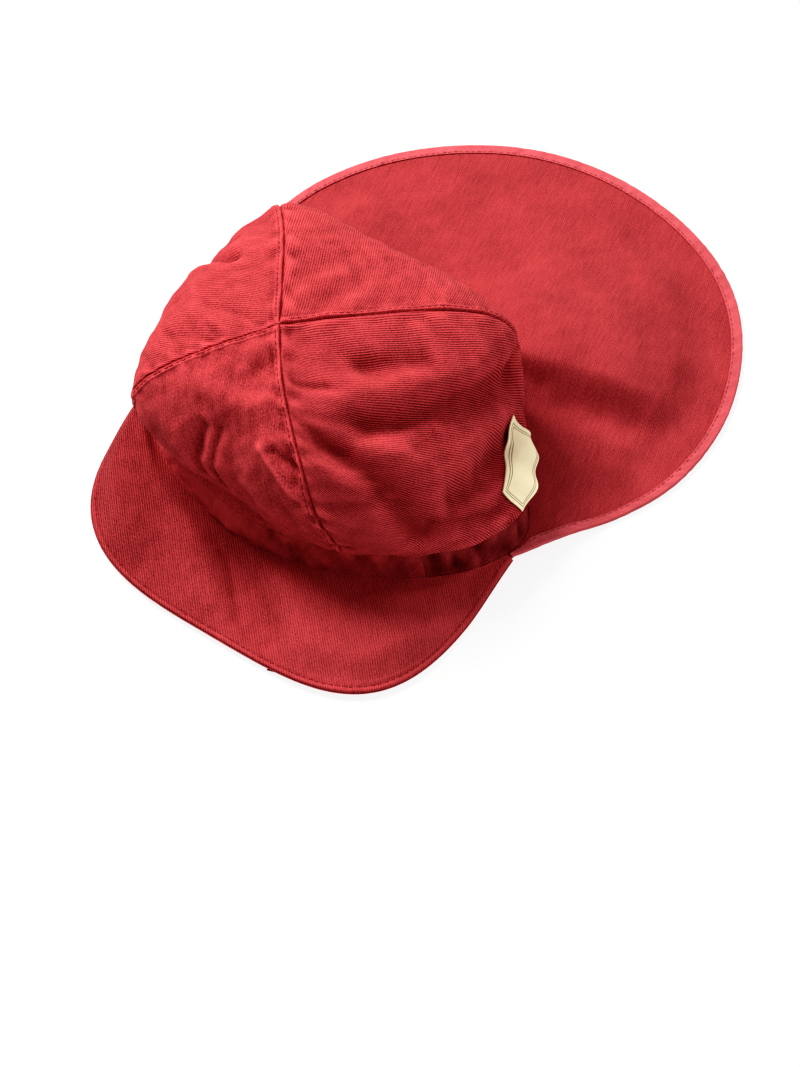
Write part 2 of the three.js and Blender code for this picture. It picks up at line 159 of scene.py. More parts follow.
# Smaller creases, which only the fine cloth has
CROWN_CREASES = {
    "crown_panel_left": [
        Fold(-16, 99, 52, 63, 8, 2.2),
        Fold(-12, 58, 36, 52, 6, 3.2),
        Fold(-20, 82, -20, 56, 7, 2.0),
        Fold(-58, 62, -38, 63, 4, -2.0),
        Fold(-21, 109, -14, 106, 2.6, -1.6, 1.5),
        Fold(-3, 125, 3, 116, 5, -1.0),
        Fold(-5, 114, 4, 103, 5, -1.2),
        Fold(4, 103, 21, 90, 4.5, -3.0),
        Fold(-12, 72, -2, 69, 4, -1.8),
        Fold(-22, 44, 6, 30, 5.5, -4.2, 1.6),
        Fold(-13, 25, 5, 25, 4, 1.2),
    ],
    "crown_panel_front": [
        Fold(-9, 74, -12, 44, 3.5, -2.6),
        Fold(-1, 76, -4, 40, 3, -2.2, 1.6),
        Fold(4, 112, 8, 104, 5, -2.4),
        Fold(-14, 92, 10, 93, 7, 2.0),
        Fold(24, 79, 48, 62, 2.2, 1.8, 1.4),
        Fold(30, 80, 44, 76, 3.5, -2.8, 1.6),
    ],
    "crown_panel_right": [
        Fold(9, 104, 4, 118, 4, -1.6, 1.6),
        Fold(18, 98, 15, 112, 5, 0.9),
        Fold(31, 94, 26, 108, 4, -1.2, 1.6),
    ],
    "crown_panel_back": [
        Fold(-7, 104, -3, 117, 5, -1.3),
        Fold(4, 104, 8, 114, 5, 0.8),
    ],
}
# The folds die away within these distances of the seams, the band and the top
FOLD_CALM_SEAM = 9
FOLD_CALM_BAND = 12
FOLD_CALM_TOP = 14
CREASE_CALM = 4

BAND_JOIN_LEFT = -25
BAND_JOIN_RIGHT = 200
BAND_MEAN_RADIUS = 76
BAND_CLOTH = 1.6
BAND_CALM_LOW = 5
BAND_CALM_TOP = 2.5
# Its upper edge is drawn in under the crown
BAND_TUCK = 0.6
BAND_TUCK_WIDTH = 0.9
GATHER_PITCH = 9
GATHER_DEPTH = 1.0
GATHER_STRETCH = 0.25
SEAM_GAP = 0.06

PEAK_HALF_WIDTH = 95
PEAK_DEPTH = 103.4
PEAK_LEAST_DEPTH = 1.2
PEAK_SQUARE_LEFT = 4
PEAK_SQUARE_RIGHT = 3
PEAK_END_LEFT = -2
PEAK_END_RIGHT = 187
PEAK_PLY = 1.0
PEAK_PLY_GAP = 0.3
PEAK_UNDER_EXTRA = 0.5
# It falls from the seam to the surface, in a soft curve by a share; where it is shallower than
# the hang depth, at its ends, its edge stays up with the band
PEAK_SEAM_UP = 8.2
PEAK_SAG = 0.6
PEAK_HANG_DEPTH = 26
# The front of its edge is lifted, from and over these sines of the bearing
PEAK_EDGE_LIFT = 1.8
PEAK_FRONT_FROM = 0.35
PEAK_FRONT_OVER = 0.5
# Its folds die away within these shares of its depth, and its crumples nearer to the edges
PEAK_CALM_BAND = 0.25
PEAK_CALM_EDGE = 0.3
PEAK_CRUMPLE_BAND = 0.08
PEAK_CRUMPLE_EDGE = 6
PEAK_FOLDS = [
    Fold(-14, -62, 26, -94, 12, -2.2),
    Fold(-78, -58, -70, -80, 28, 8),
    Fold(82, -68, 92, -92, 28, 7.5),
]
PEAK_CREASES = [
    Fold(-14, -62, 24, -92, 7, -4.4),
    Fold(6, -60, 48, -90, 11, 3.6),
    Fold(-32, -64, 4, -98, 9, 2.6),
    Fold(84, -22, 88, -40, 6, -1.3),
]
PEAK_STITCH_IN = 2.2
PEAK_STITCH_DENT = 0.14
PEAK_STITCH_DENT_WIDTH = 0.6
PEAK_PUCKER_REACH = 1.5
# The outer edges of the plies are rolled over this far in and down
PEAK_ROLL = 1.1
PEAK_ROLL_DROP = 0.7
PEAK_ABOVE_FLOOR = 0.02

# Outline of the neck flap: degrees from straight back towards the wearer's left, and reach
Edge = namedtuple("Edge", "bearing reach")
FLAP_OUTLINE = [
    Edge(91.5, 94), Edge(76, 115), Edge(60, 156.5), Edge(44, 191.5), Edge(28, 217.3), Edge(12, 226),
    Edge(-4, 222.6), Edge(-20, 204.5), Edge(-36, 177.5), Edge(-52, 143), Edge(-68, 115), Edge(-84, 99),
    Edge(-96, 95.5),
]
FLAP_SEAM_UP = 7.2
FLAP_FALL = 40
FLAP_LEAST_DEPTH = 0.8
# Its edge lies flat, and its folds die away before that and by a share of its depth at the band
FLAP_FLAT_EDGE = 13
FLAP_CALM_EDGE = 24
FLAP_CALM_BAND = 0.2
FLAP_FOLDS = [
    Fold(45, 89, 76, 97.5, 12, 19, far=62),
    Fold(65, 69, 110, 79, 6.5, 2.5, far=9),
    Fold(60, 50, 105, 62, 14, 2.5),
    Fold(20, 110, 60, 170, 26, 2.5),
    Fold(-50, 90, -75, 130, 20, 4),
]
FLAP_CREASES = [
    Fold(44, 82, 58, 84, 4, -2.5),
]
# The binding's two arms lie on the flap, and its bow goes round the flap's edge
BINDING_WIDTH = 6.0
BINDING_ARM_GAP = 0.12
BINDING_ARM_SHARE = 0.7
BINDING_ARM_LEAST = 0.6
BINDING_FOLD = 1.2
BINDING_BOW = 1.25
BINDING_BOW_ROUND = 0.55
BINDING_BOW_TURN = 80
BINDING_BOW_INSIDE = 0.25
BINDING_EDGE_PUCKER = 0.3
BINDING_CALM = 0.25
BINDING_CALM_LEAST = 0.3
BINDING_STITCH_SHARE = 0.8
BINDING_STITCH_DENT = 0.16
BINDING_STITCH_DENT_WIDTH = 0.09
BINDING_TUCK = 0.12
BINDING_TUCK_FROM = 0.98

# The label's lower and upper edges on its crown panel
Edges = namedtuple("Edges", "across up across_end up_end")
LABEL_PANEL = "crown_panel_left"
LABEL_LOW = Edges(12, 20.5, 43, 22)
LABEL_TOP = Edges(11, 34, 42, 44)
LABEL_CLOTH = 0.6
LABEL_STAND = 0.5
LABEL_WAVE_HEIGHT = 1.1
LABEL_WAVE_COUNT = 2.3
LABEL_WAVE_PHASE = -2.76
# Its upper first corner is held down by this share
LABEL_HELD = 0.7
LABEL_SIZE = (36, 17)
LABEL_LINES = (1.7, 2.7)
LABEL_LINE_WIDTH = 0.4
LABEL_INK = "#7d7060"

TAPE_START = (25, -57)
TAPE_END = (38.6, -102)
TAPE_WIDTH = 8
TAPE_UP = 0.05
TAPE_CROWN = 0.85
TAPE_ROUND = 0.25
TAPE_COLOUR = "#6d1519"

# Direction of the twill ribs on the other cloths, in degrees from each one's across direction
PEAK_RIB_TURN = 133
FLAP_RIB_TURN = 102
BAND_RIB_TURN = 52

# Wear and painted light and shade: the mesh attribute that holds them, and the height in millimetres over
# which they run
WEAR_AND_PAINTED_LIGHT = "wear_and_painted_light"
WEAR_AND_PAINTED_LIGHT_SPAN = 1.6
# Wear on the ridges of the gathers and painted shade in their hollows
GATHER_WEAR_AND_SHADE = 0.5
PEAK_RIM_WEAR = 0.35
PEAK_RIM_IN = 0.9
PEAK_RIM_WIDTH = 0.8
# Painted shade along the peak's line of topstitching
PEAK_STITCH_PAINTED_SHADE = 0.12
PEAK_STITCH_PAINTED_SHADE_WIDTH = 0.5
# Lit and shaded copies of the one red twill: painted light makes the crown lighter and painted shade makes
# the peak darker
CROWN_PAINTED_LIGHT_TONE = 1.14
PEAK_PAINTED_SHADE_TONE = 0.95
# Painted light and shade across the peak: lighter towards the wearer's left, darker towards the wearer's
# right
PEAK_PAINTED_SIDE_LIGHT = 0.45
BAND_FRONT_TONE = 1.0
# Painted light on the front of the band on the wearer's right
BAND_PAINTED_LIGHT = 1.2
BAND_PAINTED_LIGHT_BEARING = -134
BAND_PAINTED_LIGHT_SPREAD = 28
# Painted shade: the gathered back of the band is darker
BAND_BACK_PAINTED_SHADE_TONE = 0.75
THREAD_UP = 0.05
THREAD_ASKEW = 0.14
WEAVE_PITCH = 0.9

# Distances between the points of the fine meshes, closer along seams and edges, and their counts
MESH_STEP = 1.0
MESH_CLIMB = 0.95
MESH_CLIMB_TRIAL = 400
MESH_SEAM_STEP = 0.3
MESH_SEAM_MARGIN = 4.5
MESH_EDGE_MARGIN = 4.2
MESH_BAND_STEP = 0.8
MESH_BAND_ROWS = 28
MESH_PEAK_COLUMNS = 300
MESH_PEAK_DEPTH = 60
MESH_FLAP = (360, 130)
MESH_BINDING = 520
MESH_BINDING_ARM = 15
MESH_BINDING_BOW = 9
MESH_LABEL = (90, 44)
MESH_TAPE = (13, 60)
# Rows of stitches: their start, end and number of points, and the points left out at the binding's ends
SEAM_ROW = (0.02, 0.965, 240)
PEAK_ROW = (0.012, 0.988, 400)
BINDING_ROW_ENDS = 12

# The studio in metres, from the part's origin
KEY_PLACE = (-0.98, 0.14, 1.1)
KEY_SIZE = 0.6
ROOM_BRIGHT_SIDE = (0.72, 0.5, 0.5)
ROOM_DIM = 0.05
FLOOR_GLOW = 0.84
FLOOR_REACH = 4.0
FLOOR_BELOW = 0.0002
# The camera's tone curve: it deepens the shadows
TONE_CURVE = ((0.02, 0.0015), (0.05, 0.01), (0.1, 0.043), (0.25, 0.175), (0.5, 0.47), (0.75, 0.77))

# The photograph's camera: degrees about Z and above the surface, and how far from the head opening
CAMERA_AZIMUTH = 33
CAMERA_ELEVATION = 57
CAMERA_DEPTH = 800
PIXELS_PER_MM = 2.2
PHOTO_WIDTH = 800
PHOTO_HEIGHT = 1067
HEAD_PIXEL = (336, 466)
SENSOR_LONG_SIDE = 36


def linear(hex_colour):
    """Linear red, green, blue and alpha of an sRGB hex colour."""
    channels = [int(hex_colour[i:i + 2], 16) / 255 for i in (1, 3, 5)]
    return tuple(c / 12.92 if c <= 0.04045 else ((c + 0.055) / 1.055) ** 2.4 for c in channels) + (1.0,)


def length_setting(name, description, default, low, high):
    """A length setting, from millimetres."""
    return FloatProperty(name=name, description=description, default=default * MM, min=low * MM,
                         max=high * MM, unit="LENGTH")


def colour_setting(name, description, hex_colour):
    """A colour setting."""
    return FloatVectorProperty(name=name, description=description, subtype="COLOR", size=4, min=0, max=1,
                               default=linear(hex_colour))


class SunCapCloth(bpy.types.PropertyGroup):
    """Sizes and colours of the cap's cloth."""

    crown_thickness: length_setting("Crown cloth", "Thickness of the crown's twill", 1.1, 0.2, 3)
    flap_thickness: length_setting("Flap cloth", "Thickness of the neck flap's twill", 1.0, 0.2, 3)
    binding_thickness: length_setting("Binding cloth", "Thickness of the folded bias tape", 0.6, 0.2, 2)
    rib_pitch: length_setting("Rib pitch", "Distance between two ribs of the twill", 1.0, 0.3, 4)
    red: colour_setting("Twill red", "Colour of the washed twill", "#a34043")
    coral: colour_setting("Binding coral", "Colour of the bias binding", "#c56166")
    cream: colour_setting("Label cream", "Colour of the label's ground", "#fbeecb")


class SunCapStitch(bpy.types.PropertyGroup):
    """Sizes of the topstitching."""

    pitch: length_setting("Stitch pitch", "Distance from one stitch to the next", 3.0, 1, 8)
    length: length_setting("Stitch length", "Visible length of one stitch", 2.4, 0.5, 7)
    width: length_setting("Thread width", "Thickness of the sewing thread", 0.45, 0.1, 1)


class SunCapStage(bpy.types.PropertyGroup):
    """Light and floor of the studio."""

    key_power: FloatProperty(
        name="Key light", description="Power of the large soft light", default=30.0, min=0, unit="POWER")
    fill: FloatProperty(
        name="Fill", description="Strength of the even light from all round", default=0.5, min=0, max=3)
    floor: colour_setting("Floor", "Colour of the pale floor", "#656564")


# Surfaces


def ease(t):
    """Smooth step from 0 to 1."""
    k = np.clip(t, 0, 1)
    return k * k * (3 - 2 * k)


def blend(a, b, t):
    return a + (b - a) * t


def bell(x, width):
    """Soft bump of unit height about 0."""
    return np.exp(-(x / width) ** 2)


def grid(columns, rows):
    """Places over a cloth, as one array for each of its two directions."""
    return np.meshgrid(columns, rows, indexing="ij")


def curve_at(rows, place):
    """Smooth curve through the rows of a table, one array for each column."""
    table = np.array(rows, float)
    last = len(table) - 1
    place = np.asarray(place, float)
    i = np.clip(np.floor(place).astype(int), 0, last - 1)
    t = (place - i)[..., None]
    a, b, c, d = (table[np.clip(i + k, 0, last)] for k in (-1, 0, 1, 2))
    out = b + 0.5 * t * (c - a + t * (2 * a - 5 * b + 4 * c - d + t * (3 * (b - c) + d - a)))
    return np.moveaxis(out, -1, 0)


def ring_reach(ring, degrees):
    """Distance from a ring's middle to its edge."""
    a = np.radians(degrees - ring.turn)
    p = ring.square
    return ((abs(np.cos(a)) / ring.half_x) ** p + (abs(np.sin(a)) / ring.half_y) ** p) ** (-1 / p)


def ring_point(ring, degrees, inwards=0.0):
    a = np.radians(degrees)
    r = ring_reach(ring, degrees) - inwards
    return np.stack([ring.mid_x + r * np.cos(a), ring.mid_y + r * np.sin(a),
                     ring.up - ring.drop * np.cos(a)], -1)


def swell_lift(swells, degrees, up):
    """Distance that a table of swells adds to a ring's reach."""
    lift = np.zeros(np.shape(degrees))
    for swell in swells:
        around = (degrees - swell.bearing) / swell.spread
        above = (up - swell.up) / swell.height
        lift = lift + swell.lift * np.exp(-around ** 2 - above ** 2)
    return lift


def fold_lift(folds, across, up):
    """Height added by a table of folds."""
    lift = np.zeros(np.shape(across))
    for fold in folds:
        dx = fold.across_end - fold.across
        dy = fold.up_end - fold.up
        length = np.hypot(dx, dy)
        along = ((across - fold.across) * dx + (up - fold.up) * dy) / length
        aside = ((up - fold.up) * dx - (across - fold.across) * dy) / length
        beyond = along - np.clip(along, 0, length)
        far = fold.far or fold.width
        d = np.hypot(aside / np.where(aside > 0, far, fold.width), 2 * beyond / (far + fold.width))
        lift += fold.lift * np.exp(-d ** fold.power)
    return lift


def crumple(table, u, v, seed=0):
    """Random waviness of a cloth by a table."""
    out = np.zeros(np.shape(u))
    for row in table:
        draw = np.random.default_rng(row.seed + seed)
        waves = np.zeros(np.shape(u))
        for _ in range(CRUMPLE_WAVES):
            turn = draw.uniform(0, 2 * np.pi)
            size = row.size * draw.uniform(*CRUMPLE_SPREAD)
            phase = draw.uniform(0, 2 * np.pi)
            waves += np.sin(2 * np.pi * (u * np.cos(turn) + v * np.sin(turn)) / size + phase)
        out += row.height * np.sqrt(2 / CRUMPLE_WAVES) * waves
    return out


def arc_lengths(points, axis):
    """Running length along one direction of a grid of points."""
    steps = np.linalg.norm(np.diff(points, axis=axis), axis=-1)
    start = np.zeros_like(np.take(steps, [0], axis=axis))
    return np.concatenate([start, np.cumsum(steps, axis=axis)], axis=axis)


def graded(length, fine, coarse, margin):
    """Places from 0 to 1 along a length, closer together near both ends."""
    ends = np.arange(0, margin, fine)
    middle = np.linspace(margin, length - margin, max(int((length - 2 * margin) / coarse), 2))
    return np.concatenate([ends, middle, (length - ends)[::-1]]) / length


class CrownSurface:
    """The cloth of one crown panel: s runs from its first seam to its last, t from band to top."""

    def __init__(self, panel):
        self.panel = panel
        self.folds = CROWN_FOLDS[panel.name]
        self.creases = CROWN_CREASES[panel.name]
        self.seed = [p.name for p in PANELS].index(panel.name) * 10

    def base(self, s, t):
        ring = Ring(*curve_at(CROWN_RINGS, t * (len(CROWN_RINGS) - 1)))
        first, last = (curve_at([[at] for at in SEAMS[seam][:3]], 2 * t)[0]
                       for seam in (self.panel.first, self.panel.last))
        last = np.where(last < first, last + 360, last)
        degrees = blend(first, last, s)
        return ring_point(ring, degrees, -swell_lift(CROWN_SWELLS, degrees, ring.up))

    def outward(self, s, t):
        e = NORMAL_STEP
        along = self.base(s + e, t) - self.base(s - e, t)
        climb = self.base(s, np.minimum(t + e, 1)) - self.base(s, np.maximum(t - e, 0))
        n = np.cross(along, climb)
        return n / np.linalg.norm(n, axis=-1, keepdims=True)

    def width(self, t):
        return np.linalg.norm(self.base(0 * t, t) - self.base(0 * t + 1, t), axis=-1) * PANEL_BULGE

    def lift(self, s, t):
        """Height of the folds, creases and seams above the panel's smooth shape."""
        width = self.width(t)
        across = (s - 0.5) * width
        up = t * PANEL_LENGTH
        from_first, from_last = s * width, (1 - s) * width
        margin = np.minimum(from_first, from_last)
        from_top = PANEL_LENGTH - up
        calm = ease(margin / FOLD_CALM_SEAM) * ease(up / FOLD_CALM_BAND) * ease(from_top / FOLD_CALM_TOP)
        lift = fold_lift(self.folds, across, up) * calm
        calm = ease(margin / CREASE_CALM) * ease(up / CREASE_CALM) * ease(from_top / CREASE_CALM)
        ripple = crumple(CROWN_CRUMPLES, across, up, self.seed)
        lift = lift + (fold_lift(self.creases, across, up) + ripple) * calm
        seam_fade = ease(from_top / SEAM_FADE_HEIGHT + SEAM_FADE_LEAST)
        for seam, m in ((self.panel.first, from_first), (self.panel.last, from_last)):
            lift = lift + self.seam_relief(seam, m, up) * seam_fade
        return lift + CROWN_LIP * bell(up, CROWN_LIP_WIDTH)

    def seam_relief(self, seam, m, up):
        """Groove of a seam, the welt of turned-in cloth beside it, and small puckers."""
        stitch_in = SEAMS[seam].stitch_in
        groove = -GROOVE_DEPTH * bell(m, GROOVE_WIDTH)
        puckers = [Crumple(PUCKER_HEIGHT, PUCKER_PITCH, len(seam))]
        pucker = crumple(puckers, up, PUCKER_STRETCH * m) * bell(m - stitch_in, PUCKER_REACH)
        relief = groove + pucker * ease(m / PUCKER_START)
        if seam in self.panel.raised:
            fall = ease((m - stitch_in - WELT_PAST_STITCH) / WELT_FALL)
            welt = WELT_HEIGHT * ease(m / WELT_RISE) * (1 - fall)
            relief = relief + welt - STITCH_DENT * bell(m - stitch_in, STITCH_DENT_WIDTH)
        return relief

    def ridge(self, s, t):
        """How far the cloth stands out from its surroundings: wear fades what stands out, and painted shade
        darkens what lies lower.
        """
        ds = WEAR_AND_SHADE_REACH / np.maximum(self.width(t), WEAR_AND_SHADE_REACH)
        dt = WEAR_AND_SHADE_REACH / PANEL_LENGTH
        beside = self.lift(np.minimum(s + ds, 1), t) + self.lift(np.maximum(s - ds, 0), t)
        above = self.lift(s, np.minimum(t + dt, 1)) + self.lift(s, np.maximum(t - dt, 0))
        return self.lift(s, t) - (beside + above) / 4

    def place(self, s, t, out=0.0):
        lift = self.lift(s, t) + out
        return self.base(s, t) + self.outward(s, t) * lift[..., None]


def band_ring(t):
    low, high = BAND_RINGS
    return Ring(*(blend(a, b, t) for a, b in zip(low, high)))


def band_reach(degrees, up):
    """Distance from the middle of the head opening to the outside of the band at a height."""
    low, high = BAND_RINGS
    return ring_reach(band_ring((up - low.up) / (high.up - low.up)), degrees)


def peak_surface(s, w, extra=0.0, below=0.0):
    """Top of the peak, or a layer below it, from its left end to its right end and outwards."""
    degrees = PEAK_END_LEFT + (PEAK_END_RIGHT - 360 - PEAK_END_LEFT) * s
    a = np.radians(degrees)
    square = np.where(np.cos(a) > 0, PEAK_SQUARE_LEFT, PEAK_SQUARE_RIGHT)
    reach = ((abs(np.cos(a)) / PEAK_HALF_WIDTH) ** square
             + (abs(np.sin(a)) / PEAK_DEPTH) ** square) ** (-1 / square)
    inside = band_reach(degrees, PEAK_SEAM_UP - below) + SEAM_GAP
    outside = np.maximum(reach, inside + PEAK_LEAST_DEPTH)
    r = blend(inside, outside + extra, w)
    x, y = r * np.cos(a), r * np.sin(a)
    k = np.minimum((r - inside) / (outside - inside), 1)
    front = ease((-np.sin(a) - PEAK_FRONT_FROM) / PEAK_FRONT_OVER)
    calm = ease(k / PEAK_CALM_BAND) * ease((1 - k) / PEAK_CALM_EDGE)
    stack = 2 * PEAK_PLY + PEAK_PLY_GAP
    edge = blend(PEAK_SEAM_UP, stack + PEAK_EDGE_LIFT * front, ease((outside - inside) / PEAK_HANG_DEPTH))
    up = blend(PEAK_SEAM_UP, edge, blend(k, ease(k), PEAK_SAG))
    up = up + (fold_lift(PEAK_FOLDS, x, y) + fold_lift(PEAK_CREASES, x, y)) * calm
    return x, y, np.maximum(up, stack) - below, outside + extra - r


def flap_surface(s, w, edge_up, above=0.0):
    """Middle of the flap's cloth, or a layer above it, from its left end to its right and outwards."""
    bearing, reach = curve_at(FLAP_OUTLINE, s * (len(FLAP_OUTLINE) - 1))
    degrees = 90 - bearing
    a = np.radians(degrees)
    inside = band_reach(degrees, FLAP_SEAM_UP + above) + SEAM_GAP
    outside = np.maximum(reach - BINDING_BOW, inside + FLAP_LEAST_DEPTH)
    r = blend(inside, outside, w)
    x, y = r * np.cos(a), r * np.sin(a)
    calm = ease(w / FLAP_CALM_BAND) * ease((outside - r - FLAP_FLAT_EDGE) / FLAP_CALM_EDGE)
    slope = ease((r - inside) / FLAP_FALL)
    folds = fold_lift(FLAP_FOLDS, x, y) + fold_lift(FLAP_CREASES, x, y)
    up = blend(FLAP_SEAM_UP, edge_up, slope) + (folds + crumple(FLAP_CRUMPLES, x, y)) * calm
    return x, y, np.maximum(up, edge_up) + above, outside - inside


# Meshes


def piece_from(name, points, faces, uvs, material, wear_and_painted_light=None, smooth_angle=50):
    """A mesh piece in metres; points are in millimetres from the head opening."""
    mesh = bpy.data.meshes.new(name)
    places = (np.asarray(points) + HEAD_AT) * MM
    mesh.from_pydata(places.tolist(), [], [list(map(int, f)) for f in faces])
    layer = mesh.uv_layers.new(name="UVMap")
    loops = np.empty(len(mesh.loops), np.int32)
    mesh.loops.foreach_get("vertex_index", loops)
    layer.data.foreach_set("uv", (np.asarray(uvs)[loops] * MM).astype(np.float32).ravel())
    if wear_and_painted_light is not None:
        mesh.attributes.new(WEAR_AND_PAINTED_LIGHT, "FLOAT", "POINT").data.foreach_set("value", wear_and_painted_light.astype(np.float32))
    mesh.polygons.foreach_set("use_smooth", np.ones(len(mesh.polygons), bool))
    mesh.set_sharp_from_angle(angle=np.radians(smooth_angle))
    mesh.materials.append(material)
    mesh.validate()
    mesh.update()
    obj = bpy.data.objects.new(name, mesh)
    bpy.context.scene.collection.objects.link(obj)
    return obj


def wall(name, outer, inner, uv, material, ridge=0.0):
    """Closed cloth wall between an outer and an inner grid of points."""
    columns, rows = outer.shape[0] - 1, outer.shape[1] - 1
    index = np.arange((columns + 1) * (rows + 1)).reshape(columns + 1, rows + 1)
    back = index + index.size
    faces = []

    def quads(a, b, c, d):
        faces.append(np.stack([a.ravel(), b.ravel(), c.ravel(), d.ravel()], 1))

    quads(index[:-1, :-1], index[1:, :-1], index[1:, 1:], index[:-1, 1:])
    quads(back[:-1, :-1], back[:-1, 1:], back[1:, 1:], back[1:, :-1])
    quads(index[:-1, 0], back[:-1, 0], back[1:, 0], index[1:, 0])
    quads(index[:-1, -1], index[1:, -1], back[1:, -1], back[:-1, -1])
    quads(index[0, :-1], index[0, 1:], back[0, 1:], back[0, :-1])
    quads(index[-1, :-1], back[-1, :-1], back[-1, 1:], index[-1, 1:])
    points = np.concatenate([outer.reshape(-1, 3), inner.reshape(-1, 3)])
    uvs = np.concatenate([uv.reshape(-1, 2)] * 2)
    # The attribute carries wear on what stands out and painted shade in what lies lower, with painted light
    # and shade added on the band and the peak
    wear_and_painted_light = np.clip(0.5 + np.broadcast_to(ridge, index.shape) / WEAR_AND_PAINTED_LIGHT_SPAN, 0, 1)
    return piece_from(name, points, np.concatenate(faces), uvs, material, np.concatenate([wear_and_painted_light.ravel()] * 2))


def dress(piece, node):
    """Puts a piece in the place of its solid."""
    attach(piece, BODY)
    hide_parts(node)


# Materials


def add(tree, kind, links=None, **settings):
    """Adds a node with its settings, its constants and its links."""
    node = tree.nodes.new(kind)
    for key, value in settings.items():
        setattr(node, key, value)
    for socket, source in (links or {}).items():
        if isinstance(source, bpy.types.NodeSocket):
            tree.links.new(source, node.inputs[socket])
        else:
            node.inputs[socket].default_value = source
    return node


def new_material(name):
    """A material without nodes, and its node tree."""
    material = bpy.data.materials.get(name) or bpy.data.materials.new(name)
    material.use_nodes = True
    material.node_tree.nodes.clear()
    return material, material.node_tree


def finish(material, surface):
    """Ends a material in one shader with these inputs."""
    shader = add(material.node_tree, "ShaderNodeBsdfPrincipled", surface)
    add(material.node_tree, "ShaderNodeOutputMaterial", {"Surface": shader.outputs["BSDF"]})
    return material


def shade(colour, factor, milk=0.0):
    """A colour made darker or lighter, and paler by a little white."""
    return tuple(c * factor + milk for c in colour[:3]) + (1.0,)


def cloth_place(tree):
    """Place on a cloth in metres."""
    return add(tree, "ShaderNodeUVMap", uv_map="UVMap").outputs["UV"]


def mapped(tree, vector, degrees=0.0, scale=(1.0, 1.0, 1.0)):
    """A vector turned and stretched."""
    return add(tree, "ShaderNodeMapping", {
        "Vector": vector, "Rotation": (0, 0, np.radians(degrees)), "Scale": scale},
        vector_type="POINT").outputs["Vector"]


def calc(tree, operation, *values):
    """One step of arithmetic with sockets and numbers."""
    return add(tree, "ShaderNodeMath", dict(enumerate(values)), operation=operation).outputs[0]


def noise(tree, vector, size, detail=2.0, roughness=0.6):
    """Even noise whose features are about a size in metres."""
    return add(tree, "ShaderNodeTexNoise", {
        "Vector": vector, "Scale": 1 / size, "Detail": detail, "Roughness": roughness}).outputs["Fac"]


def bands(tree, vector, pitch, direction, distortion, detail_scale=1.0):
    """Soft parallel bands at a pitch in metres; a wave's period is 2 pi / (20 x scale)."""
    return add(tree, "ShaderNodeTexWave", {
        "Vector": vector, "Scale": 2 * np.pi / (20 * pitch), "Distortion": distortion, "Detail": 2.0,
        "Detail Scale": detail_scale, "Detail Roughness": 0.6},
        wave_type="BANDS", bands_direction=direction).outputs["Fac"]


def weighted(tree, *terms):
    """Sum of patterns from 0 to 1, each times its weight, about 0.5."""
    total = 0.5 - 0.5 * sum(weight for _, weight in terms)
    for source, weight in terms:
        total = calc(tree, "MULTIPLY_ADD", source, weight, total)
    return total


def between(tree, factor, low, high):
    """A colour from low to high by a factor."""
    return add(tree, "ShaderNodeMix", {"Factor": factor, "A": low, "B": high},
               data_type="RGBA").outputs["Result"]


def bump(tree, height, strength, depth):
    """Normals of a relief of a depth in metres."""
    return add(tree, "ShaderNodeBump", {
        "Height": height, "Strength": strength, "Distance": depth}).outputs["Normal"]


def washed_twill(name, colour, rib_pitch, rib_turn, rib_depth=1.0, mottle=0.55, grain=1.4):
    """Washed cotton twill: matt, a fine diagonal rib, faded on its ridges, with painted shade in its creases.
    """
    material, tree = new_material(name)
    uv = cloth_place(tree)
    turned = mapped(tree, uv, 90 - rib_turn)
    rib = bands(tree, turned, rib_pitch, "X", 0.6, 0.9)
    # Threads along the ribs take the dye a little differently
    streak = noise(tree, mapped(tree, turned, scale=(1.0, 0.12, 1.0)), 1.3 * MM)
    fuzz = noise(tree, uv, 0.8 * MM)
    # Washing fades the cloth in patches of a few centimetres
    patch = noise(tree, uv, 26 * MM, 4.0)
    # Lighter on worn ridges, darker where shade is painted in creases and hollows, and lighter or darker
    # where light and shade are painted on the band and the peak
    wear_and_painted_light = add(tree, "ShaderNodeAttribute", attribute_name=WEAR_AND_PAINTED_LIGHT).outputs["Fac"]
    fade = weighted(tree, (rib, 0.6 * rib_depth), (streak, 0.4), (fuzz, grain), (patch, mottle),
                    (wear_and_painted_light, 0.9))
    height = weighted(tree, (rib, 0.7 * rib_depth), (streak, 0.3), (fuzz, 0.8))
    return finish(material, {
        "Base Color": between(tree, fade, shade(colour, 0.42), shade(colour, 1.48, 0.024)),
        "Normal": bump(tree, height, 0.6, 0.2 * MM), "Roughness": 0.95, "Specular IOR Level": 0.08,
        "Sheen Weight": 0.05, "Sheen Roughness": 0.5, "Sheen Tint": (1.0, 0.5, 0.5, 1.0)})


def bias_tape(name, colour, thread):
    """Plain woven cotton tape cut on the bias: matt, a fine square weave, unevenly washed."""
    material, tree = new_material(name)
    uv = cloth_place(tree)
    turned = mapped(tree, uv, 45)
    warp = bands(tree, turned, thread, "X", 0.6)
    weft = bands(tree, turned, thread, "Y", 0.6)
    fuzz = noise(tree, uv, 0.8 * MM)
    patch = noise(tree, uv, 11 * MM, 4.0)
    fade = weighted(tree, (warp, 0.12), (weft, 0.12), (fuzz, 0.5), (patch, 0.9))
    height = weighted(tree, (warp, 0.5), (weft, 0.5), (fuzz, 0.5))
    return finish(material, {
        "Base Color": between(tree, fade, shade(colour, 0.66), shade(colour, 1.28, 0.012)),
        "Normal": bump(tree, height, 0.4, 0.1 * MM), "Roughness": 0.9, "Specular IOR Level": 0.12,
        "Sheen Weight": 0.05, "Sheen Roughness": 0.4})


